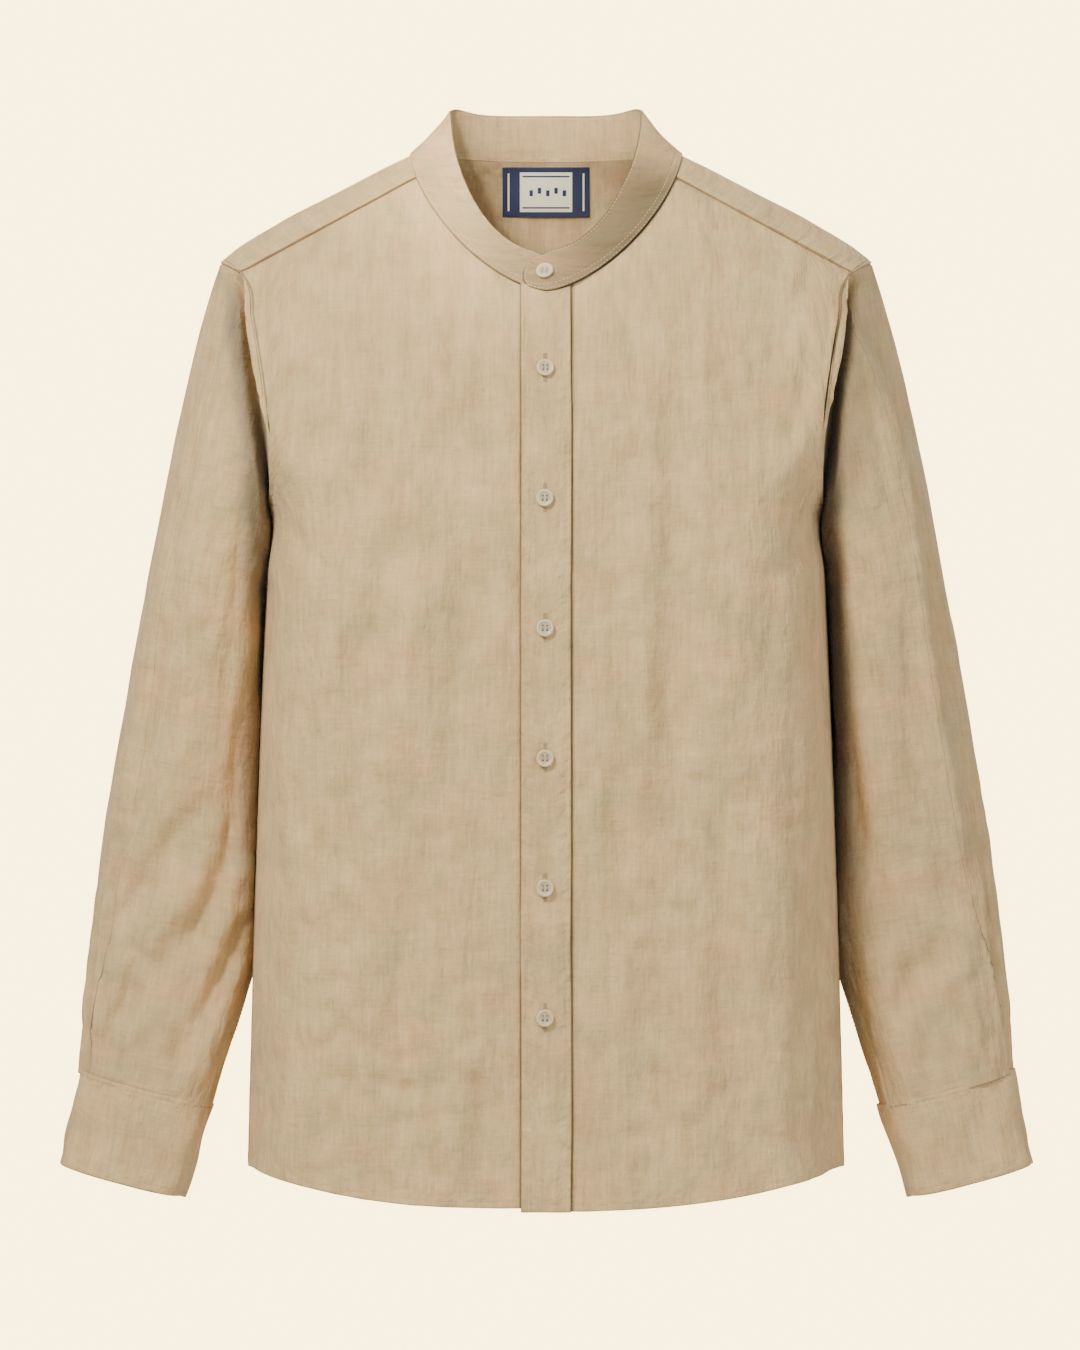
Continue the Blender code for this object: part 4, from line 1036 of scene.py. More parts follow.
yokeCreases = table(
    creaseColumns,
    (-0.105, -0.050, -0.180, -0.028, 0.004, 0.008, 0.0006),
    (0.110, -0.045, 0.170, -0.024, -0.004, 0.008, 0.0006),
    (-0.120, 0.030, -0.060, 0.100, 0.005, 0.010, 0.0014),
    (0.130, 0.040, 0.060, 0.105, -0.005, 0.010, 0.0012),
    (0.185, -0.030, 0.200, 0.040, 0.003, 0.008, 0.0014),
    (-0.190, -0.020, -0.200, 0.050, -0.003, 0.008, 0.0014),
)


def yokeGrid():
    settings = yokeSettings
    frontTurns = np.linspace(form["frontSeamTurn"], 0.0, settings["frontRows"] + 1)
    backTurns = np.linspace(0.0, form["backSeamTurn"], settings["backRows"] + 1)[1:]
    turns = np.concatenate([frontTurns, backTurns])
    sides = np.array([-1.0] * len(frontTurns) + [1.0] * len(backTurns))
    edgeZ = ringZ(turns)
    edgeX = np.where(sides < 0, armholeX(edgeZ, -1), armholeX(edgeZ, 1))
    edgeQ = wayOver(edgeX, edgeZ, sides)
    neckX, neckZ, neckSide = neckline(np.linspace(neckCornerTurn(), 0.0, settings["neckColumns"] + 1))
    neckQ = wayOver(neckX, neckZ, neckSide)
    seamX = np.linspace(edgeX[0], neckX[0], settings["seamColumns"] + 1)[:-1]
    seamQ = wayOver(seamX, yokeSeamZ(seamX), -1.0)
    start = np.stack([np.append(seamX, neckX), np.append(seamQ, neckQ)], axis=-1)
    outerShares = np.linspace(1.0, 0.5, settings["seamColumns"] + 1)[:-1]
    shares = np.concatenate([outerShares, np.linspace(0.5, 0.0, settings["neckColumns"] + 1)])
    endX = edgeX[-1] * shares
    endQ = wayOver(endX, np.full_like(endX, form["yokeBackZ"]), 1.0)
    end = np.stack([endX, endQ], axis=-1)
    edge = np.stack([edgeX, edgeQ], axis=-1)
    way = (edgeQ - edgeQ[0]) / (edgeQ[-1] - edgeQ[0])
    straight = edge[0] + (edge[-1] - edge[0]) * way[:, None]
    grid = start[None] + (end - start)[None] * way[:, None, None]
    grid = grid + (edge - straight)[:, None, :] * shares[None, :, None] ** 4
    points = overShoulder(grid[..., 0], grid[..., 1])
    mirrored = points[:, ::-1] * np.array([-1.0, 1.0, 1.0])
    return np.concatenate([points, mirrored[:, 1:]], axis=1)


def buildYoke():
    settings = yokeSettings
    points = yokeGrid()
    normals = gridNormals(points)
    awaySide = np.minimum(edgeAway(points, "left"), edgeAway(points, "right"))
    awayFront = edgeAway(points, "top")
    awayBack = edgeAway(points, "bottom")
    onSeam = np.abs(points[0, :, 0]) >= form["yokeSeamNeckX"] - 0.002
    x = points[..., 0]
    over = points[..., 1]
    frontStitch = np.where(onSeam[None, :], np.abs(awayFront - settings["stitch"]), farAway)
    stitch = np.minimum(np.abs(awayBack - settings["stitch"]), frontStitch)
    stitch = np.minimum(stitch, np.abs(awaySide - cloth["armholeStitch"]))
    calm = armholeCalm(awaySide) * eased(awayFront / settings["endCalm"]) * eased(awayBack / settings["endCalm"])
    pressed = creaseDepth(x, over, yokeCreases, 0.003, 51) + 0.0006 * softNoise(x, over, 0.03, 0.045, 53)
    pressed = pressed + 0.0003 * softNoise(x, over, 0.012, 0.014, 54)
    pressed = pressed * calm * (1 - 0.85 * bell(over, 0.028)) + puckered(x, over, stitch, 85)
    points = points - normals * pressed[..., None]
    normals = gridNormals(points)
    height = settings["raise"]
    raised = height * (0.35 + 0.65 * (1 - eased((awayFront - 0.006) / 0.004))) * onSeam[None, :]
    raised = np.maximum(raised, height * 0.35)
    raised = np.maximum(raised, height * (1 - eased((awayBack - 0.006) / 0.004)))
    raised = np.maximum(raised, 0.5 * height * (1 - eased((awaySide - 0.006) / 0.003)))
    outer = points + normals * raised[..., None]
    middle = len(onSeam) // 2
    rightSeam = slice(0, int(onSeam[:middle].sum()))
    leftSeam = slice(len(onSeam) - int(onSeam[middle:].sum()), None)
    stitchLines = [
        edgeStitches(outer[:, seam], normals[:, seam], "top", settings["stitch"], settings["stitchStart"])
        for seam in (rightSeam, leftSeam)
    ]
    for edge, distance in (
        ("bottom", settings["stitch"]), ("left", cloth["armholeStitch"]), ("right", cloth["armholeStitch"])
    ):
        stitchLines.append(edgeStitches(outer, normals, edge, distance, settings["stitchStart"]))
    piece = shell("yokePanel", points, normals, raised, cloth["thickness"], linen, stitchAway=stitch)
    return piece, stitchLines


# Button strip

stripSettings = {
    "rows": 230,
    "columns": 13,
    "edgeStitch": 0.0042,
    "stitchStart": 0.004,
    "thickness": 0.0019,
    "round": 0.0012,
    "stand": 0.0025,
    "aboveNeckline": 0.001,
    "shorter": 0.0010,
}


def roundedShares(width, roundSize, inner):
    near = np.array([0.0, 0.12, 0.35, 0.65, 1.0]) * roundSize / width
    middle = np.linspace(near[-1], 1 - near[-1], inner + 2)[1:-1]
    return np.concatenate([near, middle, 1 - near[::-1]])


def roundedHalf(away, roundSize, half):
    share = np.clip(away / roundSize, 0.0, 1.0)
    return half * (0.15 + 0.85 * np.sqrt(1 - (1 - share) ** 2))


def stripTopZ(x):
    return neckFrontZ(x) + stripSettings["aboveNeckline"]


def buildStrip():
    settings = stripSettings
    width = 2 * form["stripHalfWidth"]
    shares = roundedShares(width, settings["round"], settings["columns"])
    x = -form["stripHalfWidth"] + width * shares[None, :]
    down = np.linspace(0.0, 1.0, settings["rows"])[:, None]
    top = stripTopZ(x)
    z = top + (form["stripHemZ"] + settings["shorter"] - top) * down
    x = np.broadcast_to(x, z.shape) + 0.0005 * softNoise(z, 0 * z, 0.06, 1.0, 91)
    points = bodyPoints(x, z, -1)
    normals = gridNormals(points)
    away = np.minimum(edgeAway(points, "left"), edgeAway(points, "right"))
    awayHem = edgeAway(points, "bottom")
    stitch = np.minimum(np.abs(away - settings["edgeStitch"]), np.abs(awayHem - cloth["hemStitch"]))
    pressed = bodyDrape(x, z, -1) * centreCalm(x) + hangHem(x, z, awayHem) * centreCalm(x)
    pressed = pressed + 0.0005 * softNoise(x, z, 0.03, 0.035, 93) + puckered(x, z, stitch, 95)
    points = points - normals * pressed[..., None]
    points[..., 1] -= settings["stand"]
    normals = gridNormals(points)
    half = roundedHalf(away, settings["round"], settings["thickness"] / 2)
    outer = points + normals * half[..., None]
    stitchLines = [
        edgeStitches(outer, normals, edge, settings["edgeStitch"], settings["stitchStart"])
        for edge in ("left", "right")
    ]
    piece = shell("buttonStrip", points, normals, half, half, linenPressed, stitchAway=stitch)
    return piece, stitchLines, outer, normals


def nearestOn(outer, normals, x, z):
    flat = outer.reshape(-1, 3)
    facing = normals.reshape(-1, 3)
    away = (flat[:, 0] - x) ** 2 + (flat[:, 2] - z) ** 2
    best = np.argsort(away)[:4]
    weight = 1 / (away[best] + 1e-9)
    place = (flat[best] * weight[:, None]).sum(0) / weight.sum()
    place[0], place[2] = x, z
    return place, unit((facing[best] * weight[:, None]).sum(0))


# Collar band

bandSettings = {
    "endColumns": 16,
    "roundColumns": 190,
    "rise": 15,
    "thickness": 0.0024,
    "round": 0.0013,
    "stand": 0.0010,
    "stitch": 0.0022,
    "secondStitch": 0.0065,
    "stitchStart": 0.002,
    "height": 0.034,
    "intoSeam": 0.0012,
    "hollow": 0.0014,
    "topHalfWidth": 0.067,
    "topSideZ": 0.0297,
    "topBackZ": 0.0277,
    "topCornerTurn": 70.0,
    "topCornerRise": 0.0045,
    "topOverZ": -0.0690,
    "topUnderZ": -0.0705,
    "crossOver": 0.0060,
    "crossUnder": 0.0099,
    "crossSlope": 0.43,
    "topFrontY": -0.050,
    "topBackY": 0.032,
    "topOverPower": 1.82,
    "topUnderPower": 1.95,
    "lapStart": 0.014,
    "lapEase": 0.026,
}

# The rounded end on top, and the end under it
bandOverEnd = table(
    "rise x",
    (0.0, -0.0125), (0.12, -0.0158), (0.35, -0.0172), (0.6, -0.0165), (0.82, -0.0132), (1.0, -0.0060),
)
bandUnderEnd = table("rise x", (0.0, -0.0120), (0.2, -0.0140), (0.6, -0.0140), (1.0, -0.0100))

# Painted shade on the band's front face, darkest on the +x side
bandShade = table(
    "x shade",
    (-0.100, 0.0), (-0.058, 0.0), (-0.040, 0.16), (-0.020, 0.32), (0.0, 0.38),
    (0.020, 0.54), (0.040, 0.64), (0.085, 0.64), (0.100, 0.54),
)


def bandTop(turn):
    settings = bandSettings
    angle = np.radians(np.abs(turn))
    front = angle > math.pi / 2
    c = np.sin(angle)
    s = np.abs(np.cos(angle))
    over = turn > 0
    power = 2 / np.where(over, settings["topOverPower"], settings["topUnderPower"])
    lowZ = np.where(over, settings["topOverZ"], settings["topUnderZ"])
    x = np.where(front, settings["topHalfWidth"] * np.sign(c) * np.abs(c) ** power, settings["topHalfWidth"] * c)
    frontZ = settings["topSideZ"] + (lowZ - settings["topSideZ"]) * s**power
    backZ = settings["topBackZ"] + settings["topCornerRise"] * bell(np.abs(turn) - settings["topCornerTurn"], 22.0)
    cross = np.where(over, settings["crossOver"], settings["crossUnder"])
    frontZ = frontZ - settings["crossSlope"] * np.maximum(cross - x, 0.0)
    y = np.where(front, settings["topFrontY"] * s**power, settings["topBackY"] * s)
    return np.stack([np.sign(turn + 1e-9) * x, y, np.where(front, frontZ, backZ)], axis=-1)


def buildBand():
    settings = bandSettings
    rise = roundedShares(settings["height"], settings["round"], settings["rise"])
    overX = curve(bandOverEnd, "rise", "x", rise)
    underX = curve(bandUnderEnd, "rise", "x", rise)
    stripX = form["stripHalfWidth"]
    middle = np.linspace(turnAtX(stripX), -turnAtX(stripX), settings["roundColumns"])
    nearEnd = np.linspace(0.0, 1.0, settings["endColumns"] + 1)[:-1] ** 1.25
    turns = []
    for over, under in zip(overX, underX):
        first = turnAtX(over + (stripX - over) * nearEnd)
        last = -turnAtX(under + (stripX - under) * nearEnd)[::-1]
        turns.append(np.concatenate([first, middle, last]))
    turns = np.array(turns)
    base = neckPoint(turns)
    top = bandTop(turns)
    upward = unit(top - base)
    base = base - upward * settings["intoSeam"]
    points = base + (top - base) * rise[:, None, None]
    normals = -gridNormals(points)
    shape = (4 * rise * (1 - rise))[:, None]
    way = lengths(points, 1)
    wave = 0.0007 * softNoise(way, points[..., 2], 0.035, 0.03, 61)
    wave = wave + 0.0003 * softNoise(way, points[..., 2], 0.013, 0.013, 62)
    side = (points[..., 1] > -0.02) * 0.0006 * softNoise(way, 0 * way, 0.05, 1.0, 63) * rise[:, None]
    hollow = settings["hollow"] * shape * np.where(np.abs(turns) > 120, 0.5, 1.0)
    points = points - normals * (hollow + wave * shape - side - settings["stand"])[..., None]
    fromEnd = np.where(turns > 90.0, points[..., 0], farAway)
    lap = (settings["thickness"] + 0.0006) * (1 - eased((fromEnd - settings["lapStart"]) / settings["lapEase"]))
    points[..., 1] -= lap
    normals = -gridNormals(points)
    awayEdge = np.minimum(edgeAway(points, "top"), edgeAway(points, "bottom"))
    awayEnd = np.minimum(edgeAway(points, "left"), edgeAway(points, "right"))
    half = roundedHalf(np.minimum(awayEdge, awayEnd), settings["round"], settings["thickness"] / 2)
    stitch = np.minimum(np.abs(awayEdge - settings["stitch"]), np.abs(awayEnd - settings["stitch"]))
    stitch = np.minimum(stitch, np.abs(edgeAway(points, "top") - settings["secondStitch"]))
    outer = points + normals * half[..., None]
    inner = points - normals * half[..., None]
    stitchLines = [
        edgeStitches(face, facing, edge, settings[distance], settings["stitchStart"])
        for face, facing, edge, distance in (
            (outer, normals, "top", "stitch"),
            (outer, normals, "bottom", "stitch"),
            (outer, normals, "top", "secondStitch"),
            (inner, -normals, "top", "stitch"),
            (inner, -normals, "bottom", "stitch"),
        )
    ]
    stitchLines.append(edgeStitches(outer[3:-3], normals[3:-3], "left", settings["stitch"]))
    x, y, z = np.moveaxis(points, -1, 0)
    # Painted shade on the front of the band, less towards its top
    facingFront = eased((0.010 - y) / 0.04) * (1 - 0.55 * eased((z + 0.030) / 0.045))
    shade = curve(bandShade, "x", "shade", x) * facingFront
    piece = shell("collarBand", points, normals, half, half, linenShadedBand, stitchAway=stitch, paintedShade=shade)
    return piece, stitchLines, outer, normals


# Sleeves

sleeveSettings = {
    "columns": 160,
    "capRows": 52,
    "armRows": 112,
    "clearance": 0.0018,
    "clearanceDrop": 0.012,
    "capLength": 0.15,
    "fold": 1.3,
    "wave": 0.0018,
    "ripple": 0.0011,
    "crumple": 0.0012,
    "grit": 0.00025,
    "gatherDepth": 0.0008,
    "gatherPitch": 0.0095,
    "pleatDepth": 0.0022,
    "pleatReach": 0.020,
    "endBow": 0.0028,
    # painted shade over the sleeves
    "baseShade": 0.07,
    "intoCuff": 0.004,
    "half": 0.0002,
    "underSeamTurn": 182.5,
    "stitchStart": 0.002,
}

# The hollow in the sleeve beside the armhole seam, round the ring
sleeveTrough = table(
    "turn depth width",
    (0.0, 0.0, 0.006),
    (18.0, 0.003, 0.006),
    (35.0, 0.015, 0.007),
    (70.0, 0.026, 0.010),
    (120.0, 0.032, 0.014),
    (155.0, 0.022, 0.014),
    (175.0, 0.004, 0.011),
    (200.0, 0.003, 0.009),
    (270.0, 0.014, 0.010),
    (330.0, 0.008, 0.008),
    (360.0, 0.0, 0.006),
)
sleeveValley = table(
    "along depth",
    (-0.060, 0.0),
    (-0.020, 0.016),
    (0.030, 0.028),
    (0.080, 0.024),
    (0.140, 0.014),
    (0.220, 0.006),
    (0.340, 0.0),
)

loopColumns = "along x y z halfWidth frontDepth backDepth tilt squareness"
sleeveLoops = table(
    loopColumns,
    (0.000, 0.2378, 0.020, -0.3000, 0.0442, 0.066, 0.074, 11.0, 2.2),
    (0.132, 0.2505, 0.026, -0.4300, 0.0545, 0.058, 0.066, 10.5, 2.2),
    (0.244, 0.2610, 0.024, -0.5410, 0.0610, 0.047, 0.054, 10.5, 2.6),
    (0.306, 0.2725, 0.018, -0.6010, 0.0562, 0.0385, 0.0425, 12.5, 2.9),
    (0.346, 0.2800, 0.014, -0.6400, 0.0516, 0.0325, 0.0350, 14.2, 3.0),
    (0.366, 0.2842, 0.012, -0.6600, 0.0494, 0.0282, 0.0302, 14.8, 3.0),
)
cuffLoops = table(
    loopColumns,
    (0.000, 0.2844, 0.012, -0.6605, 0.0490, 0.028, 0.030, 14.8, 3.0),
    (0.069, 0.3026, 0.010, -0.7278, 0.0453, 0.027, 0.029, 15.0, 3.0),
)
sleeveLeaves = table(
    "turn x y z",
    (0.0, 0.30, 0.00, -0.95),
    (90.0, 0.55, 0.62, -0.55),
    (180.0, 0.06, 0.10, -0.99),
    (270.0, 0.62, -0.10, -0.78),
    (360.0, 0.30, 0.00, -0.95),
)

# Sleeve creases: u0 and u1 are turns in degrees over 1000, v0 and v1 the way down the arm
leftSleeveCreases = table(
    creaseColumns,
    (0.036, -0.110, 0.034, 0.080, 0.002, 0.007, 0.0030),
    (0.044, 0.000, 0.038, 0.230, -0.003, 0.010, 0.0030),
    (0.078, 0.020, 0.066, 0.240, 0.004, 0.011, 0.0028),
    (0.112, -0.030, 0.100, 0.150, 0.004, 0.011, 0.0024),
    (0.128, 0.090, 0.094, 0.300, 0.004, 0.011, 0.0024),
    (0.030, 0.200, 0.022, 0.352, 0.002, 0.006, 0.0030),
    (0.112, 0.310, 0.076, 0.250, 0.004, 0.009, 0.0028),
    (0.064, 0.345, 0.088, 0.300, -0.002, 0.006, 0.0020),
    (0.152, 0.000, 0.146, 0.200, 0.003, 0.009, 0.0018),
    (0.220, -0.040, 0.232, 0.160, 0.004, 0.012, 0.0028),
    (0.262, 0.040, 0.250, 0.260, -0.004, 0.012, 0.0026),
    (0.300, -0.060, 0.312, 0.120, 0.004, 0.012, 0.0024),
    (0.325, 0.080, 0.300, 0.300, -0.004, 0.011, 0.0026),
    (0.214, 0.200, 0.236, 0.350, 0.003, 0.008, 0.0022),
    (0.282, 0.240, 0.268, 0.350, 0.002, 0.007, 0.0022),
)
rightSleeveCreases = table(
    creaseColumns,
    (0.050, -0.120, 0.046, 0.030, 0.002, 0.009, 0.0022),
    (0.062, 0.020, 0.050, 0.200, -0.003, 0.011, 0.0026),
    (0.108, -0.060, 0.112, 0.130, 0.004, 0.010, 0.0022),
    (0.132, 0.060, 0.112, 0.240, -0.003, 0.010, 0.0022),
    (0.124, 0.160, 0.070, 0.330, 0.003, 0.009, 0.0030),
    (0.100, 0.150, 0.052, 0.290, -0.004, 0.010, 0.0028),
    (0.136, 0.230, 0.098, 0.345, 0.003, 0.008, 0.0026),
    (0.028, 0.230, 0.024, 0.355, 0.001, 0.005, 0.0032),
    (0.076, 0.280, 0.060, 0.350, 0.002, 0.006, 0.0022),
    (0.222, -0.050, 0.230, 0.150, -0.004, 0.012, 0.0026),
    (0.258, 0.060, 0.246, 0.240, 0.004, 0.012, 0.0026),
    (0.296, -0.040, 0.310, 0.140, -0.004, 0.012, 0.0024),
    (0.328, 0.100, 0.306, 0.280, 0.004, 0.011, 0.0026),
    (0.216, 0.220, 0.238, 0.345, -0.003, 0.008, 0.0022),
    (0.286, 0.230, 0.272, 0.355, 0.002, 0.007, 0.0024),
)

# Painted shade on the cloth deep in the fold beside the body
leftArmShade = table(
    "z depth start core soft",
    (-0.557, 0.60, -0.010, 0.010, 0.030),
    (-0.515, 0.72, -0.010, 0.014, 0.026),
    (-0.458, 0.78, -0.010, 0.017, 0.018),
    (-0.401, 0.82, -0.010, 0.018, 0.015),
    (-0.288, 0.80, -0.010, 0.018, 0.014),
    (-0.245, 0.79, -0.008, 0.016, 0.013),
    (-0.188, 0.77, -0.004, 0.010, 0.012),
    (-0.160, 0.72, 0.000, 0.006, 0.012),
    (-0.131, 0.62, 0.001, 0.005, 0.012),
    (-0.103, 0.42, 0.002, 0.003, 0.011),
    (-0.080, 0.0, 0.002, 0.002, 0.008),
)
rightArmShade = table(
    "z depth start core soft",
    (-0.570, 0.10, -0.010, 0.012, 0.022),
    (-0.515, 0.40, -0.010, 0.014, 0.018),
    (-0.458, 0.40, -0.010, 0.016, 0.018),
    (-0.401, 0.38, -0.010, 0.016, 0.018),
    (-0.344, 0.34, -0.010, 0.014, 0.020),
    (-0.288, 0.62, -0.010, 0.020, 0.018),
    (-0.245, 0.64, -0.010, 0.022, 0.018),
    (-0.2165, 0.62, -0.006, 0.016, 0.016),
    (-0.188, 0.60, 0.002, 0.010, 0.014),
    (-0.160, 0.58, 0.005, 0.008, 0.013),
    (-0.131, 0.58, 0.007, 0.006, 0.012),
    (-0.103, 0.45, 0.008, 0.004, 0.010),
    (-0.080, 0.0, 0.008, 0.003, 0.008),
)

# The pleat above each cuff: where it runs and how far it is open
leftPleat = table(
    "along turn share",
    (-0.15, 56.0, 0.0),
    (0.200, 56.0, 0.0),
    (0.235, 52.0, 0.25),
    (0.270, 44.0, 0.75),
    (0.310, 34.5, 1.0),
    (0.352, 25.0, 1.0),
    (0.370, 23.0, 1.0),
)
rightPleat = table(
    "along turn share",
    (-0.15, 47.0, 0.0),
    (0.230, 47.0, 0.0),
    (0.260, 45.6, 0.45),
    (0.300, 42.0, 0.85),
    (0.344, 39.0, 1.0),
    (0.370, 38.0, 1.0),
)


def loopPoints(loops, turn, along):
    read = {name: curve(loops, "along", name, along) for name in loopColumns.split()[1:]}
    tilt = np.radians(read["tilt"])
    c = np.cos(np.radians(turn))
    s = np.sin(np.radians(turn))
    power = 2 / read["squareness"]
    across = read["halfWidth"] * np.sign(c) * np.abs(c) ** power
    depth = np.where(s > 0, read["frontDepth"], read["backDepth"])
    y = read["y"] - depth * np.sign(s) * np.abs(s) ** power
    return np.stack([read["x"] + across * np.cos(tilt), y, read["z"] + across * np.sin(tilt)], axis=-1)


# The front of the sleeve's end and of the cuff hangs a little lower
def cuffBow(turn):
    return sleeveSettings["endBow"] * np.clip(np.sin(np.radians(turn)), 0.0, 1.0) ** 1.5


def evenTurns(count):
    fine = np.linspace(0.0, 360.0, 1441)
    line = loopPoints(sleeveLoops, fine, np.full_like(fine, 0.1))
    way = lengths(line, 0)
    return np.interp(np.linspace(0.0, way[-1], count + 1)[:-1], way, fine)


def ringPoints(turn):
    front = turn <= 180.0
    z = ringZ(turn)
    x = np.where(front, armholeX(z, -1), armholeX(z, 1))
    return np.where(front[:, None], bodyPoints(x, z, -1), bodyPoints(x, z, 1))


def clearOfBody(points, turn):
    x, y, z = points[..., 0], points[..., 1], points[..., 2]
    middle = bodyAt("middleY", z)
    depth = np.where(y > middle, bodyAt("backDepth", z), bodyAt("frontDepth", z))
    corner = np.where(y > middle, form["backCorner"], form["frontCorner"])
    half = bodyAt("halfWidth", z)
    reach = half
    power = form["planPower"]
    for _ in range(3):
        plan = (1 - np.clip(reach / form["planHalfWidth"], 0.0, 1.0) ** power) ** (1 / power)
        share = np.clip(np.abs(y - middle) / (depth * plan), 0.0, 1.0)
        reach = half - corner * (1 - np.sqrt(1 - share * share))
    below = form["armholeBottomZ"] - z
    wanted = reach + sleeveSettings["clearance"] * eased(below / sleeveSettings["clearanceDrop"])
    wanted = wanted - 0.0006 * (1 - eased((below - 0.004) / 0.008))
    moved = np.where(below > 0, np.maximum(x, wanted), x)
    near = eased((44 - np.abs(turn - 188.0)) / 20) * eased((z + 0.350) / 0.04) * eased((below + 0.001) / 0.003)
    moved = moved + (np.minimum(moved, wanted + 0.0003) - moved) * near
    return np.stack([moved, y, z], axis=-1)


def sleeveGrid():
    turn = evenTurns(sleeveSettings["columns"])
    ring = ringPoints(turn)
    first = loopPoints(sleeveLoops, turn, np.zeros_like(turn))
    tilt = math.radians(sleeveLoops["tilt"][0])
    down = np.array([math.sin(tilt), 0.0, -math.cos(tilt)])
    reach = np.linalg.norm(first - ring, axis=-1, keepdims=True)
    leaves = unit(np.stack([curve(sleeveLeaves, "turn", axis, turn) for axis in "xyz"], axis=-1))
    rows = []
    share = np.linspace(0.0, 1.0, sleeveSettings["capRows"]) ** 1.2
    for t in share:
        begin = ring * (1 + 2 * t) * (1 - t) ** 2
        end = first * t * t * (3 - 2 * t)
        rows.append(begin + end + leaves * reach * t * (1 - t) ** 2 + down * reach * t * t * (t - 1))
    length = sleeveLoops["along"][-1]
    arm = np.linspace(0.0, length, sleeveSettings["armRows"] + 1)[1:]
    for along in arm:
        rows.append(loopPoints(sleeveLoops, turn, np.full_like(turn, along)))
        rows[-1][:, 2] -= cuffBow(turn) * eased((along - 0.26) / 0.10)
    along = np.concatenate([-sleeveSettings["capLength"] * (1 - share), arm])
    return np.array(rows), turn, along


# Painted shade beside the body's edge as seen from the front, half as strong round the back
def armShade(points, turn, shades):
    x, z = points[..., 0], points[..., 2]
    front = (turn <= 180.0)[None, :]
    seamX = np.where(front, armholeX(z, -1), armholeX(z, 1))
    edge = np.where(z > form["armholeBottomZ"], seamX, bodyAt("halfWidth", z))
    read = {name: curve(shades, "z", name, z) for name in ("depth", "start", "core", "soft")}
    gap = x - edge - read["start"]
    shade = read["depth"] * eased((gap + 0.004) / 0.004) * (1 - eased((gap - read["core"]) / read["soft"]))
    return shade * np.where(front, 1.0, 0.5)


# Sinks the cloth under each pleat, and gives the distance to the pleat's painted shadow line
def pleatWay(turn, along, pleat):
    way = (turn[None, :] - curve(pleat, "along", "turn", along)[:, None]) * 0.00085
    share = curve(pleat, "along", "share", along)[:, None]
    under = (way < 0) * (1 - eased((-way - 0.004) / sleeveSettings["pleatReach"]))
    return sleeveSettings["pleatDepth"] * share * under, (way + 0.0007) * (1 + 9 * (1 - share))


# Places on the cloth: round the arm and down it, flat across the cap
def sleeveGrain(grid, turn, along):
    tilt = math.radians(sleeveLoops["tilt"][0])
    across = np.array([math.cos(tilt), 0.0, math.sin(tilt)])
    down = np.array([math.sin(tilt), 0.0, -math.cos(tilt)])
    cap = int((along < 0).sum())
    first = grid[cap]
    way = lengths(np.concatenate([first, first[:1]]), 0)
    u = np.repeat(way[None, :], len(grid), axis=0)
    v = np.repeat(np.append(along, along[-1])[:len(grid), None], grid.shape[1] + 1, axis=1)
    place = grid[:cap] @ across
    for chosen, order in ((turn <= 180.0, -1), (turn > 180.0, 1)):
        key = (first @ across)[chosen][::order]
        rising = np.maximum.accumulate(key) + np.arange(len(key)) * 1e-9
        u[:cap, :-1][:, chosen] = np.interp(place[:, chosen], rising, way[:-1][chosen][::order])
    v[:cap, :-1] = (grid[:cap] - first[None]) @ down
    v[:cap, -1] = v[:cap, 0]
    u[:, -1] = u[:, -2] + (way[-1] - way[-2])
    return u, v


def sleeveDrape(grid, turn, along, mirror):
    settings = sleeveSettings
    creases = leftSleeveCreases if mirror > 0 else rightSleeveCreases
    seed = 101 if mirror > 0 else 121
    u = np.broadcast_to(turn[None, :] / 1000, grid.shape[:2])
    v = np.broadcast_to(along[:, None], grid.shape[:2])
    blend = eased((u - 0.335) / 0.025)

    def wrapped(read):
        return read(u) * (1 - blend) + read(u - 0.360) * blend

    rumpled = 1 + (0.6 if mirror > 0 else 1.1) * eased((v - 0.10) / 0.12)
    crumple = wrapped(lambda a: np.abs(softNoise(a + 0.3 * v, v - 0.2 * a, 0.014, 0.024, seed + 4)))
    pressed = settings["fold"] * (1 + 0.6 * eased(v / 0.20)) * creaseDepth(u, v, creases, 0.003, seed)
    pressed = pressed + settings["wave"] * wrapped(lambda a: softNoise(a, v, 0.030, 0.110, seed + 2))
    pressed = pressed + settings["ripple"] * rumpled * wrapped(lambda a: softNoise(a, v, 0.015, 0.045, seed + 3))
    pressed = pressed + settings["crumple"] * rumpled * (0.5 - crumple)
    pressed = pressed + settings["grit"] * wrapped(lambda a: softNoise(a, v, 0.008, 0.010, seed + 5))
    awayRing = edgeAway(grid, "top")
    awayCuff = edgeAway(grid, "bottom")
    gathers = np.cos(u * 2 * math.pi / settings["gatherPitch"] + 2.0 * softNoise(u, v, 0.03, 0.05, seed + 7))
    gathers = settings["gatherDepth"] * gathers * bell(awayCuff, 0.020) * eased(awayCuff / 0.003)
    sideways = np.abs(np.sin(np.radians(turn)))[None, :]
    pressed = (pressed + gathers) * eased(awayRing / 0.020) * (0.25 + 0.75 * eased(awayCuff / 0.012))
    pressed = pressed * (0.30 + 0.70 * eased(sideways / 0.55))
    sunk, shadowLineAway = pleatWay(turn, along, leftPleat if mirror > 0 else rightPleat)
    return pressed + sunk * eased(sideways / 0.5), shadowLineAway


# The hollow beside the body, towards the middle of the sleeve from either face
def sleeveHollow(grid, turn, along):
    awayRing = edgeAway(grid, "top")
    width = curve(sleeveTrough, "turn", "width", turn)[None, :]
    trough = curve(sleeveTrough, "turn", "depth", turn)[None, :] * bell(awayRing - 0.004, width)
    valley = curve(sleeveValley, "along", "depth", along)[:, None] * bell(turn - 158.0, 17.0)[None, :]
    return np.maximum(trough * eased(awayRing / 0.003), valley) * np.sign(180.0 - turn)[None, :]


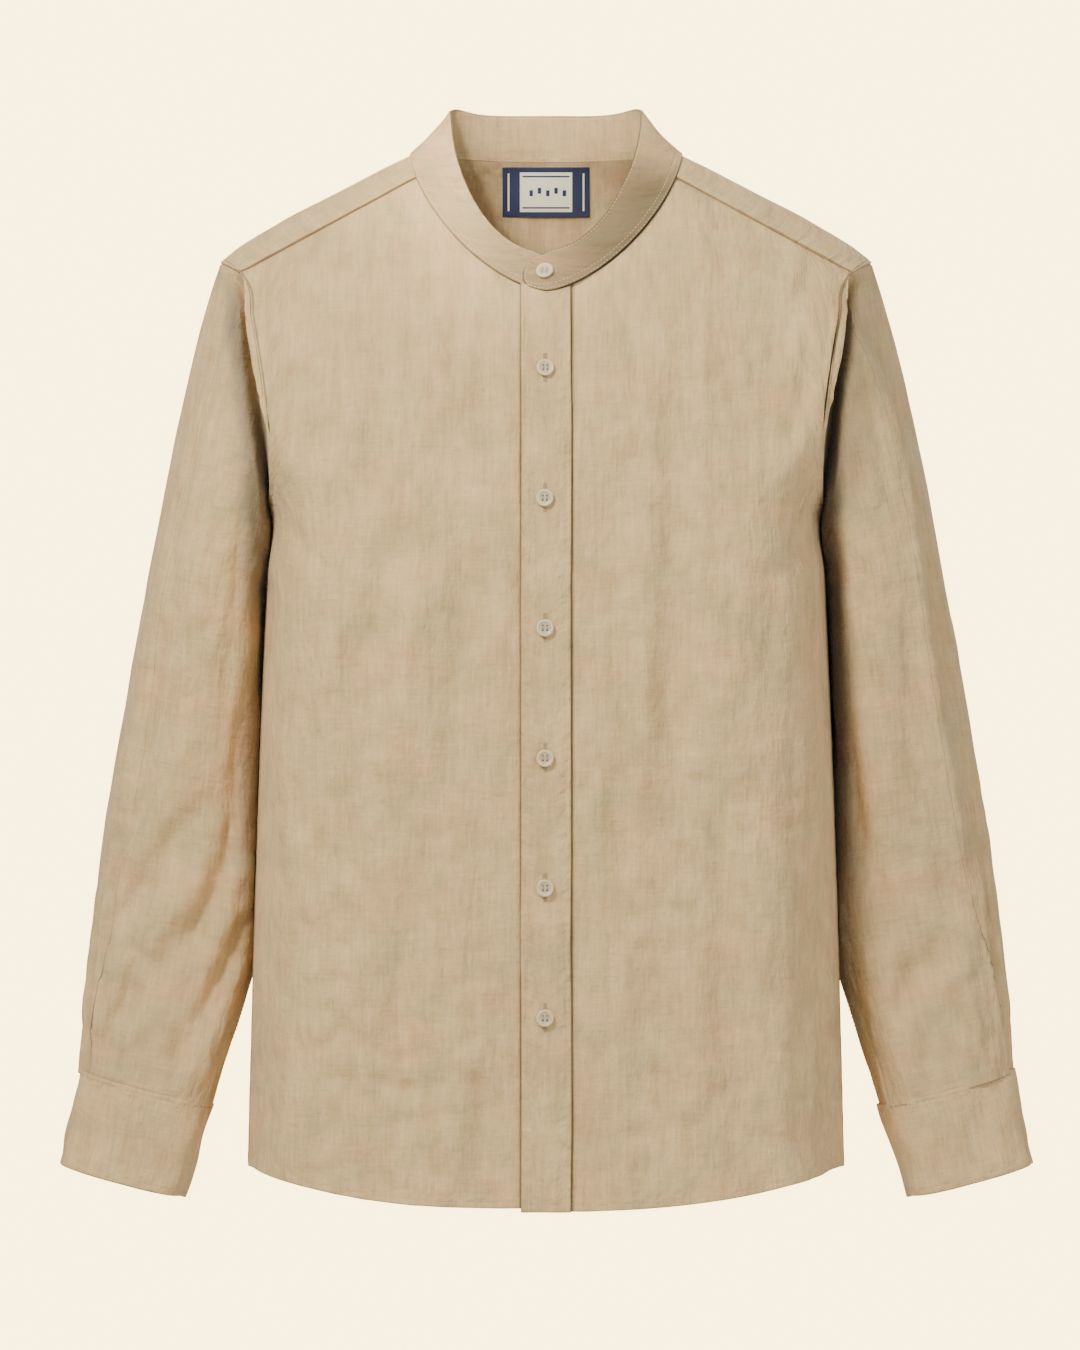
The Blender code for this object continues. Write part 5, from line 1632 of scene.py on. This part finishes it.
def buildSleeve(name, mirror):
    settings = sleeveSettings
    grid, turn, along = sleeveGrid()
    normals = -gridNormals(grid, closed=True)
    pressed, shadowLineAway = sleeveDrape(grid, turn, along, mirror)
    hollow = sleeveHollow(grid, turn, along)
    grain = sleeveGrain(grid, turn, along)
    grid = grid - normals * pressed[..., None]
    grid[..., 1] += hollow
    grid = clearOfBody(grid, turn[None, :])
    normals = -gridNormals(grid, closed=True)
    shade = armShade(grid, turn, leftArmShade if mirror > 0 else rightArmShade)
    # Painted shade: one whole sleeve and the lower part of the other are a little darker
    lowerArm = 1.0 if mirror > 0 else eased((-0.38 - grid[..., 2]) / 0.12)
    shade = np.maximum(shade, settings["baseShade"] * lowerArm)
    stitch = np.broadcast_to(np.abs(turn - 180.0) * 0.00105, grid.shape[:2])
    outer = grid + normals * settings["half"]
    outerNormals = -gridNormals(outer, closed=True)

    # The sleeve's ends go on into the body and into the cuff
    inward = ringInward(turn)
    inner = grid[0] - inward * (0.0010 + 0.0010 * np.abs(np.sin(np.radians(turn)))[:, None])
    deeper = inner + unit(grid[0] - grid[1]) * 0.004 - inward * 0.0004
    last = grid[-1] + unit(grid[-1] - grid[-2]) * settings["intoCuff"]
    grid = np.concatenate([deeper[None], inner[None], grid[1:], last[None]])

    def withEnds(values):
        return np.concatenate([values[:1], values, values[-1:]])

    under = int(np.argmin(np.abs(turn - settings["underSeamTurn"])))
    flip = np.array([mirror, 1.0, 1.0])
    line, facing = outer[6:-3, under] * flip, outerNormals[6:-3, under] * flip
    rows = [stitchPoints(line, facing, start=settings["stitchStart"])]
    piece = shell(
        name, grid * flip, withEnds(normals) * flip, settings["half"], cloth["thickness"], linen, closed=True,
        stitchAway=np.pad(np.minimum(stitch, farAway), [(1, 1), (0, 0)], constant_values=farAway),
        grain=[withEnds(way) for way in grain], paintedShade=withEnds(shade), shadowLineAway=withEnds(shadowLineAway),
    )
    return piece, rows + slitRows(outer * flip, outerNormals * flip, turn)


def ringInward(turn):
    side = np.where(turn <= 180.0, -1.0, 1.0)
    z = ringZ(turn)
    x = np.where(side < 0, armholeX(z, -1), armholeX(z, 1))
    q = wayOver(x, z, side)
    across = overShoulder(x, q) - overShoulder(x - 0.0004, q)
    along = overShoulder(x, q + 0.008) - overShoulder(x, q - 0.008)
    normals = unit(np.cross(across, along))
    level = eased((-0.80 - np.cos(np.radians(turn))) / 0.2)[:, None]
    return unit(normals * (1 - level) + np.array([1.0, 0.0, 0.0]) * level)


slitSettings = {"turn": 236.0, "length": 0.120, "halfColumns": 4, "aboveCuff": 0.004, "boxHeight": 0.02}


def slitRows(outer, normals, turn):
    settings = slitSettings
    middle = int(np.argmin(np.abs(turn - settings["turn"])))
    first, last = middle - settings["halfColumns"], middle + settings["halfColumns"]
    rows = []
    for column in (first, last):
        way = edgeAway(outer, "bottom")[:, column]
        keep = (way < settings["length"]) & (way > settings["aboveCuff"])
        rows.append(stitchPoints(outer[keep, column], normals[keep, column]))
    way = edgeAway(outer, "bottom")[:, middle]
    for height in (settings["length"], settings["length"] - settings["boxHeight"]):
        row = np.argmin(np.abs(way - height))
        rows.append(stitchPoints(outer[row, first: last + 1], normals[row, first: last + 1]))
    return rows


# Cuffs

cuffSettings = {
    "columns": 150,
    "rise": 20,
    "girth": 0.27,
    "thickness": 0.0022,
    "round": 0.0014,
    "stitch": 0.0045,
    "lapStart": 205.0,
    "lapEnd": 240.0,
    "lapGap": 0.0008,
    "stand": -0.0007,
    "wave": 0.0022,
    "ripple": 0.0011,
    "buttonTurn": 226.0,
}


def buildCuff(name, mirror):
    settings = cuffSettings
    height = float(cuffLoops["along"][-1])
    share = roundedShares(settings["girth"], settings["round"], settings["columns"])
    turn = settings["lapStart"] + (360.0 + settings["lapEnd"] - settings["lapStart"]) * share
    rise = roundedShares(height, settings["round"], settings["rise"])
    points = np.array([loopPoints(cuffLoops, turn, np.full_like(turn, height * part)) for part in rise])
    points[..., 2] -= cuffBow(turn % 360.0)
    normals = -gridNormals(points)
    seed = 141 if mirror > 0 else 151
    way = lengths(points, 1)
    fall = lengths(points, 0)
    pressed = settings["wave"] * softNoise(way, fall, 0.032, 0.040, seed)
    pressed = pressed + settings["ripple"] * softNoise(way, fall, 0.015, 0.020, seed + 1)
    lap = (settings["thickness"] + settings["lapGap"]) * eased((share - 0.84) / 0.05)
    points = points + normals * (lap[None, :] - pressed + settings["stand"])[..., None]
    normals = -gridNormals(points)
    awayEdge = np.minimum(edgeAway(points, "top"), edgeAway(points, "bottom"))
    awayEnd = np.minimum(edgeAway(points, "left"), edgeAway(points, "right"))
    half = roundedHalf(np.minimum(awayEdge, awayEnd), settings["round"], settings["thickness"] / 2)
    stitch = np.minimum(np.abs(awayEdge - settings["stitch"]), np.abs(awayEnd - settings["stitch"]))
    flip = np.array([mirror, 1.0, 1.0])
    outer, facing = (points + normals * half[..., None]) * flip, normals * flip
    stitchLines = [
        edgeStitches(outer, facing, edge, settings["stitch"], settings["stitch"])
        for edge in ("top", "bottom", "right")
    ]
    piece = shell(name, points * flip, facing, half, half, linenPressed, stitchAway=stitch)
    return piece, stitchLines, outer, facing, turn


# Buttons and buttonholes

buttonSettings = {
    "radius": 0.0062,
    "thickness": 0.0024,
    "holeRadius": 0.00078,
    "holeAway": 0.00150,
    "sides": 56,
    "holeSides": 18,
    "dishEdge": 0.58,
    "dishSoft": 0.14,
    "lift": 0.0009,
    "firstZ": -0.1520,
    "spacing": 0.0920,
    "frontCount": 6,
    "x": -0.0007,
    "collarZ": -0.0838,
}

# The button's section from its middle outwards: share of the radius and of the thickness
buttonProfile = (
    (0.30, 0.61), (0.50, 0.62), (0.60, 0.66), (0.66, 0.78), (0.72, 0.92), (0.79, 0.99), (0.87, 1.00),
    (0.94, 0.94), (0.985, 0.80), (1.00, 0.60), (0.985, 0.35), (0.94, 0.14), (0.86, 0.02), (0.80, 0.0),
)

threadSettings = {
    "radius": 0.00021,
    "apart": 0.00032,
    "rise": 0.00042,
    "sink": 0.0012,
    "steps": 9,
    "sides": 6,
    "shankRadius": 0.0017,
    "shankTop": 0.0015,
    "shankLength": 0.0022,
    "shankSides": 14,
}

holeSettings = {
    "apart": 0.00075,
    "endReach": 0.0013,
    "pitch": 0.00042,
    "lift": 0.00020,
    "endLift": 0.00025,
    "length": 0.0015,
    "width": 0.00048,
    "frontHalf": 0.0098,
    "collarHalf": 0.0088,
    "seed": 9,
}


def ringOfVerts(build, count, place):
    return [build.verts.new(place(2 * math.pi * side / count)) for side in range(count)]


# Skins a row of rings and closes its two ends
def skinRings(build, rings):
    for near, far in zip(rings, rings[1:]):
        for side in range(len(near)):
            after = (side + 1) % len(near)
            build.faces.new((near[side], far[side], far[after], near[after]))
    build.faces.new(rings[0])
    build.faces.new(rings[-1][::-1])


def buttonMesh():
    settings = buttonSettings
    radius, thick = settings["radius"], settings["thickness"]
    build = bmesh.new()
    skinRings(build, [
        ringOfVerts(build, settings["sides"], lambda angle: (
            reach * radius * math.cos(angle), reach * radius * math.sin(angle), height * thick
        ))
        for reach, height in buttonProfile
    ])
    bmesh.ops.recalc_face_normals(build, faces=build.faces)
    body = linkedMesh("buttonBody", build)
    build = bmesh.new()
    away = settings["holeAway"]
    for x in (-away, away):
        for y in (-away, away):
            made = bmesh.ops.create_cone(
                build, cap_ends=True, segments=settings["holeSides"],
                radius1=settings["holeRadius"], radius2=settings["holeRadius"], depth=thick * 3,
            )
            bmesh.ops.translate(build, verts=made["verts"], vec=(x, y, thick / 2))
    cutter = linkedMesh("buttonHoles", build)
    cut = body.modifiers.new("holes", "BOOLEAN")
    cut.operation = "DIFFERENCE"
    cut.solver = "EXACT"
    cut.object = cutter
    bpy.context.view_layer.update()
    graph = bpy.context.evaluated_depsgraph_get()
    made = bpy.data.meshes.new_from_object(body.evaluated_get(graph), depsgraph=graph)
    points = np.empty(len(made.vertices) * 3, np.float32)
    made.vertices.foreach_get("co", points)
    reach = np.hypot(*points.reshape(-1, 3)[:, :2].T) / radius
    # Marks the dish for its painted shade
    dish = 1 - eased((reach - settings["dishEdge"]) / settings["dishSoft"])
    made.attributes.new("dish", "FLOAT", "POINT").data.foreach_set("value", dish.astype(np.float32))
    bpy.data.objects.remove(body)
    bpy.data.objects.remove(cutter)
    return made


def linkedMesh(name, build):
    mesh = bpy.data.meshes.new(name)
    build.to_mesh(mesh)
    build.free()
    made = bpy.data.objects.new(name, mesh)
    bpy.context.scene.collection.objects.link(made)
    return made


def threadMesh():
    settings = threadSettings
    away = buttonSettings["holeAway"]
    top = buttonSettings["thickness"] * 0.62
    build = bmesh.new()
    for side in (-1, 1):
        for strand in (-1, 0, 1):
            x = side * away + strand * settings["apart"]
            rings = []
            for t in np.linspace(0.0, 1.0, settings["steps"]):
                y = away * 1.12 * (2 * t - 1)
                arch = math.sin(math.pi * t)
                z = top + settings["rise"] * arch - settings["sink"] * (1 - arch) ** 6
                rings.append(ringOfVerts(build, settings["sides"], lambda angle: (
                    x + settings["radius"] * math.cos(angle), y, z + settings["radius"] * math.sin(angle)
                )))
            skinRings(build, rings)
    made = bmesh.ops.create_cone(
        build, cap_ends=True, segments=settings["shankSides"],
        radius1=settings["shankRadius"], radius2=settings["shankTop"], depth=settings["shankLength"],
    )
    bmesh.ops.translate(build, verts=made["verts"], vec=(0.0, 0.0, -0.0006))
    bmesh.ops.recalc_face_normals(build, faces=build.faces)
    mesh = bpy.data.meshes.new("buttonThread")
    build.to_mesh(mesh)
    build.free()
    return mesh


def placedMesh(source, name, place, across, up, normal, material):
    mesh = source.copy()
    mesh.name = name
    points = np.empty(len(mesh.vertices) * 3, np.float32)
    mesh.vertices.foreach_get("co", points)
    turned = points.reshape(-1, 3) @ np.array([across, up, normal]) + place
    mesh.vertices.foreach_set("co", turned.astype(np.float32).ravel())
    mesh.update()
    return finishPiece(name, mesh, material)


def addButton(name, node, place, normal, up):
    normal = unit(np.array(normal, float))
    across = unit(np.cross(up, normal))
    up = np.cross(normal, across)
    seat = place + normal * buttonSettings["lift"]
    body = placedMesh(buttonShape, name, seat, across, up, normal, buttonShell)
    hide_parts(node)
    thread = placedMesh(threadShape, name + "Thread", seat, across, up, normal, threadHole)


def buttonhole(outer, normals, x, z, along, halfLength):
    settings = holeSettings
    along = np.array(along)
    across = np.array([along[1], -along[0]])
    middle = np.array([x, z])

    def stitched(places, lift):
        line, facing = zip(*(nearestOn(outer, normals, *place) for place in places))
        return crossStitches(np.array(line), np.array(facing), settings["pitch"], lift)

    rows = []
    for side in (-1, 1):
        share = np.linspace(-1, 1, 9)[:, None]
        places = middle + along * halfLength * share + across * settings["apart"] * side
        rows.append(stitched(places, settings["lift"]))
    for end in (-1, 1):
        share = np.linspace(-1, 1, 5)[:, None]
        places = middle + along * halfLength * end + across * settings["endReach"] * share
        rows.append(stitched(places, settings["endLift"]))
    return rows


# Label

labelSettings = {
    "halfWidth": 0.031,
    "topZ": -0.0083,
    "bottomZ": -0.0433,
    "off": 0.0020,
    "thickness": 0.0005,
    "weaveThickness": 0.00014,
    "panelLift": 0.00030,
    "motifLift": 0.00046,
    "dashes": 5,
}


def labelPlace(across, up, lift):
    settings = labelSettings
    x = across * settings["halfWidth"]
    z = settings["bottomZ"] + (settings["topZ"] - settings["bottomZ"]) * up
    y = bodyY(x, z, 1) - settings["off"] - 0.0006 * np.cos(across * 2.2) - 0.0003 * np.sin(up * 5.0 + across)
    return np.stack([x, y - lift, z], axis=-1)


def labelShape(name, boxes, lift, material):
    build = bmesh.new()
    for (startAcross, startUp), (endAcross, endUp) in boxes:
        across = np.linspace(startAcross, endAcross, max(int(abs(endAcross - startAcross) * 16), 2))
        up = np.linspace(startUp, endUp, max(int(abs(endUp - startUp) * 12), 2))
        verts = [[build.verts.new(labelPlace(a, b, lift)) for a in across] for b in up]
        for low, high in zip(verts, verts[1:]):
            for column in range(len(across) - 1):
                build.faces.new((low[column], low[column + 1], high[column + 1], high[column]))
    made = bmesh.ops.extrude_face_region(build, geom=list(build.faces))
    moved = [item for item in made["geom"] if isinstance(item, bmesh.types.BMVert)]
    bmesh.ops.translate(build, verts=moved, vec=(0.0, -labelSettings["weaveThickness"], 0.0))
    bmesh.ops.recalc_face_normals(build, faces=build.faces)
    mesh = bpy.data.meshes.new(name)
    build.to_mesh(mesh)
    build.free()
    finishPiece(name, mesh, material)


def buildLabel():
    settings = labelSettings
    across = np.linspace(-1.0, 1.0, 33)[None, :]
    up = np.linspace(1.0, 0.0, 19)[:, None]
    points = labelPlace(*np.broadcast_arrays(across, up), 0.0)
    normals = gridNormals(points)
    normals = normals * -np.sign(normals[..., 1:2])
    base = shell("neckLabel", points, normals, settings["thickness"] / 2, settings["thickness"] / 2, labelNavy)
    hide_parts("label")
    labelShape("labelPanel", [((-0.60, 0.10), (0.60, 0.90))], settings["panelLift"], labelCream)
    bars = [((-0.88, 0.12), (-0.84, 0.88)), ((0.84, 0.12), (0.88, 0.88))]
    labelShape("labelEdge", bars, settings["panelLift"], labelCream)
    lines = [((-0.54, 0.80), (0.54, 0.83)), ((-0.54, 0.17), (0.54, 0.20))]
    for count in range(settings["dashes"]):
        start, low = -0.38 + 0.19 * count, 0.42 + 0.05 * (count % 2)
        lines.append(((start, low), (start + 0.08, low + 0.12)))
    labelShape("labelMotif", lines, settings["motifLift"], labelNavy)
    return base


# Assembly

threadRows = {}


def keepRows(key, rows):
    threadRows.setdefault(key, []).extend(rows)


frontLeft, rows = buildFront("frontLeft", 1)
keepRows("Fronts", rows)
frontRight, rows = buildFront("frontRight", -1)
keepRows("Fronts", rows)
back, rows = buildBack()
keepRows("Back", rows)
yoke, rows = buildYoke()
keepRows("Yoke", rows)
strip, rows, stripOuter, stripNormals = buildStrip()
keepRows("Strip", rows)
band, rows, bandOuter, bandNormals = buildBand()
keepRows("Band", rows)
print("body done", flush=True)
sleeves = {}
cuffs = {}
cuffFaces = {}
for label, mirror in (("Left", 1), ("Right", -1)):
    sleeves[label], rows = buildSleeve("sleeve" + label, mirror)
    keepRows("Sleeves", rows)
    cuffs[label], rows, outer, normals, turn = buildCuff("cuff" + label, mirror)
    cuffFaces[label] = (outer, normals, turn)
    keepRows("Cuffs", rows)
neckLabel = buildLabel()
print("sleeves done", flush=True)

buttonShape = buttonMesh()
threadShape = threadMesh()
upward = np.array([0.0, 0.0, 1.0])
holeRows = []
buttonX = buttonSettings["x"]
for count in range(buttonSettings["frontCount"]):
    z = buttonSettings["firstZ"] - buttonSettings["spacing"] * count
    place, normal = nearestOn(stripOuter, stripNormals, buttonX, z)
    addButton(f"frontButton{count + 1}", f"button_front_{count + 1}", place, normal, upward)
    holeRows += buttonhole(stripOuter, stripNormals, buttonX, z + 0.0006, (0.0, 1.0), holeSettings["frontHalf"])
overEnd = bandOuter.shape[1] // 4  # the end of the band that laps over
bandFace = bandOuter[:, :overEnd], bandNormals[:, :overEnd]
collarZ = buttonSettings["collarZ"]
place, normal = nearestOn(*bandFace, buttonX, collarZ)
addButton("collarButton", "button_collar", place, normal, upward)
holeRows += buttonhole(*bandFace, buttonX - 0.0010, collarZ, (1.0, 0.0), holeSettings["collarHalf"])
for label in ("Left", "Right"):
    outer, normals, turn = cuffFaces[label]
    column = int(np.argmin(np.abs(turn - 360.0 - cuffSettings["buttonTurn"])))
    row = len(outer) // 2
    upCuff = unit(outer[row - 1, column] - outer[row + 1, column])
    addButton("cuffButton" + label, "button_cuff_" + label.lower(), outer[row, column], normals[row, column], upCuff)
print("buttons done", flush=True)

for key, rows in threadRows.items():
    piece = stitchPiece("stitches" + key, rows, stitchNodes, threadPale, len(key))
holes = stitchPiece(
    "buttonholeThread", holeRows, stitchNodes, threadHole, holeSettings["seed"],
    length=holeSettings["length"], width=holeSettings["width"],
)
print("stitches done", flush=True)

for piece, node, slotName in (
    (frontLeft, "front_left", "linen"),
    (frontRight, "front_right", "linen"),
    (back, "back", "linen"),
    (yoke, "yoke", "linen"),
    (strip, "placket", "linen_pressed"),
    (band, "collar_band", "linen_pressed"),
    (sleeves["Left"], "sleeve_left", "linen"),
    (sleeves["Right"], "sleeve_right", "linen"),
    (cuffs["Left"], "cuff_left", "linen_pressed"),
    (cuffs["Right"], "cuff_right", "linen_pressed"),
):
    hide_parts(node)


# Stage, camera and lights

studio = {
    "frameWidth": 0.7668,
    "centreX": -0.0043,
    "centreZ": -0.3692,
    "distance": 30.0,
    "sensor": 36.0,
    "floorZ": -1.45,
    "floorReach": 4.0,
    "backdropY": 12.0,
    "backdropReach": 0.9,
    "backdropLowZ": -1.5,
    "backdropTopZ": 0.8,
    "backdropGlow": 7.98,
    "airGlow": 0.58,
}


def plainSheet(name, corners, material):
    mesh = bpy.data.meshes.new(name)
    mesh.from_pydata(corners, [], [(0, 1, 2, 3)])
    mesh.materials.append(material)
    piece = bpy.data.objects.new(name, mesh)
    bpy.context.scene.collection.objects.link(piece)
    return piece


def glowMaterial(name, colour, strength):
    material = bpy.data.materials.new(name)
    material.use_nodes = True
    tree = material.node_tree
    tree.nodes.clear()
    glow = tree.nodes.new("ShaderNodeEmission")
    glow.inputs["Color"].default_value = colour
    glow.inputs["Strength"].default_value = strength
    out = tree.nodes.new("ShaderNodeOutputMaterial")
    tree.links.new(glow.outputs[0], out.inputs["Surface"])
    return material


def addLight(name, place, target, size, energy, colour, spread=180.0):
    light = bpy.data.lights.new(name, "AREA")
    light.shape = "RECTANGLE"
    light.size, light.size_y = size
    light.spread = math.radians(spread)
    light.energy = energy
    light.color = colour
    lamp = bpy.data.objects.new(name, light)
    bpy.context.scene.collection.objects.link(lamp)
    lamp.location = place
    way = np.array(target) - np.array(place)
    lamp.rotation_mode = "QUATERNION"
    lamp.rotation_quaternion = Vector(way).to_track_quat("-Z", "Y")


backdropPaper = glowMaterial("backdropPaper", (1.0, 0.779, 0.338, 1.0), studio["backdropGlow"])
far, side = studio["backdropY"], studio["backdropReach"]
low, high = studio["backdropLowZ"], studio["backdropTopZ"]
plainSheet("backdrop", [(-side, far, low), (side, far, low), (side, far, high), (-side, far, high)], backdropPaper)
floorPaint = plainMaterial("floorPaint", (0.80, 0.76, 0.69, 1.0), 0.8, 0.02, 3.0, 0.0)
side, low = studio["floorReach"], studio["floorZ"]
plainSheet("floor", [(-side, -side, low), (side, -side, low), (side, side, low), (-side, side, low)], floorPaint)

lens = bpy.data.cameras.new("camera")
camera = bpy.data.objects.new("camera", lens)
bpy.context.scene.collection.objects.link(camera)
lens.sensor_fit = "AUTO"
lens.sensor_width = studio["sensor"]
lens.lens = studio["sensor"] * studio["distance"] / (studio["frameWidth"] * 1350 / 1080)
lens.clip_end = 60.0
camera.location = (studio["centreX"], -studio["distance"], studio["centreZ"])
camera.rotation_euler = (math.pi / 2, 0.0, 0.0)
bpy.context.scene.camera = camera

addLight("keyLight", (-1.05, -1.55, 1.12), (0.0, 0.0, -0.20), (0.35, 0.35), 56.0, (1.0, 0.985, 0.96))
addLight("fillLight", (1.7, -2.5, 0.7), (0.0, 0.0, -0.2), (1.4, 1.4), 31.0, (0.94, 0.965, 1.0))
addLight("neckLight", (-0.33, -0.87, 0.36), (0.0, 0.08, -0.055), (0.10, 0.10), 0.10, (1.0, 0.98, 0.96), spread=14.0)
addLight("backLight", (0.8, 2.6, 1.4), (0.0, 0.0, -0.3), (1.6, 1.2), 45.0, (1.0, 0.98, 0.96))
world = bpy.data.worlds.new("studioAir")
bpy.context.scene.world = world
world.use_nodes = True
air = world.node_tree.nodes["Background"]
air.inputs["Color"].default_value = (0.93, 0.96, 1.0, 1.0)
air.inputs["Strength"].default_value = studio["airGlow"]

print("scene done", flush=True)
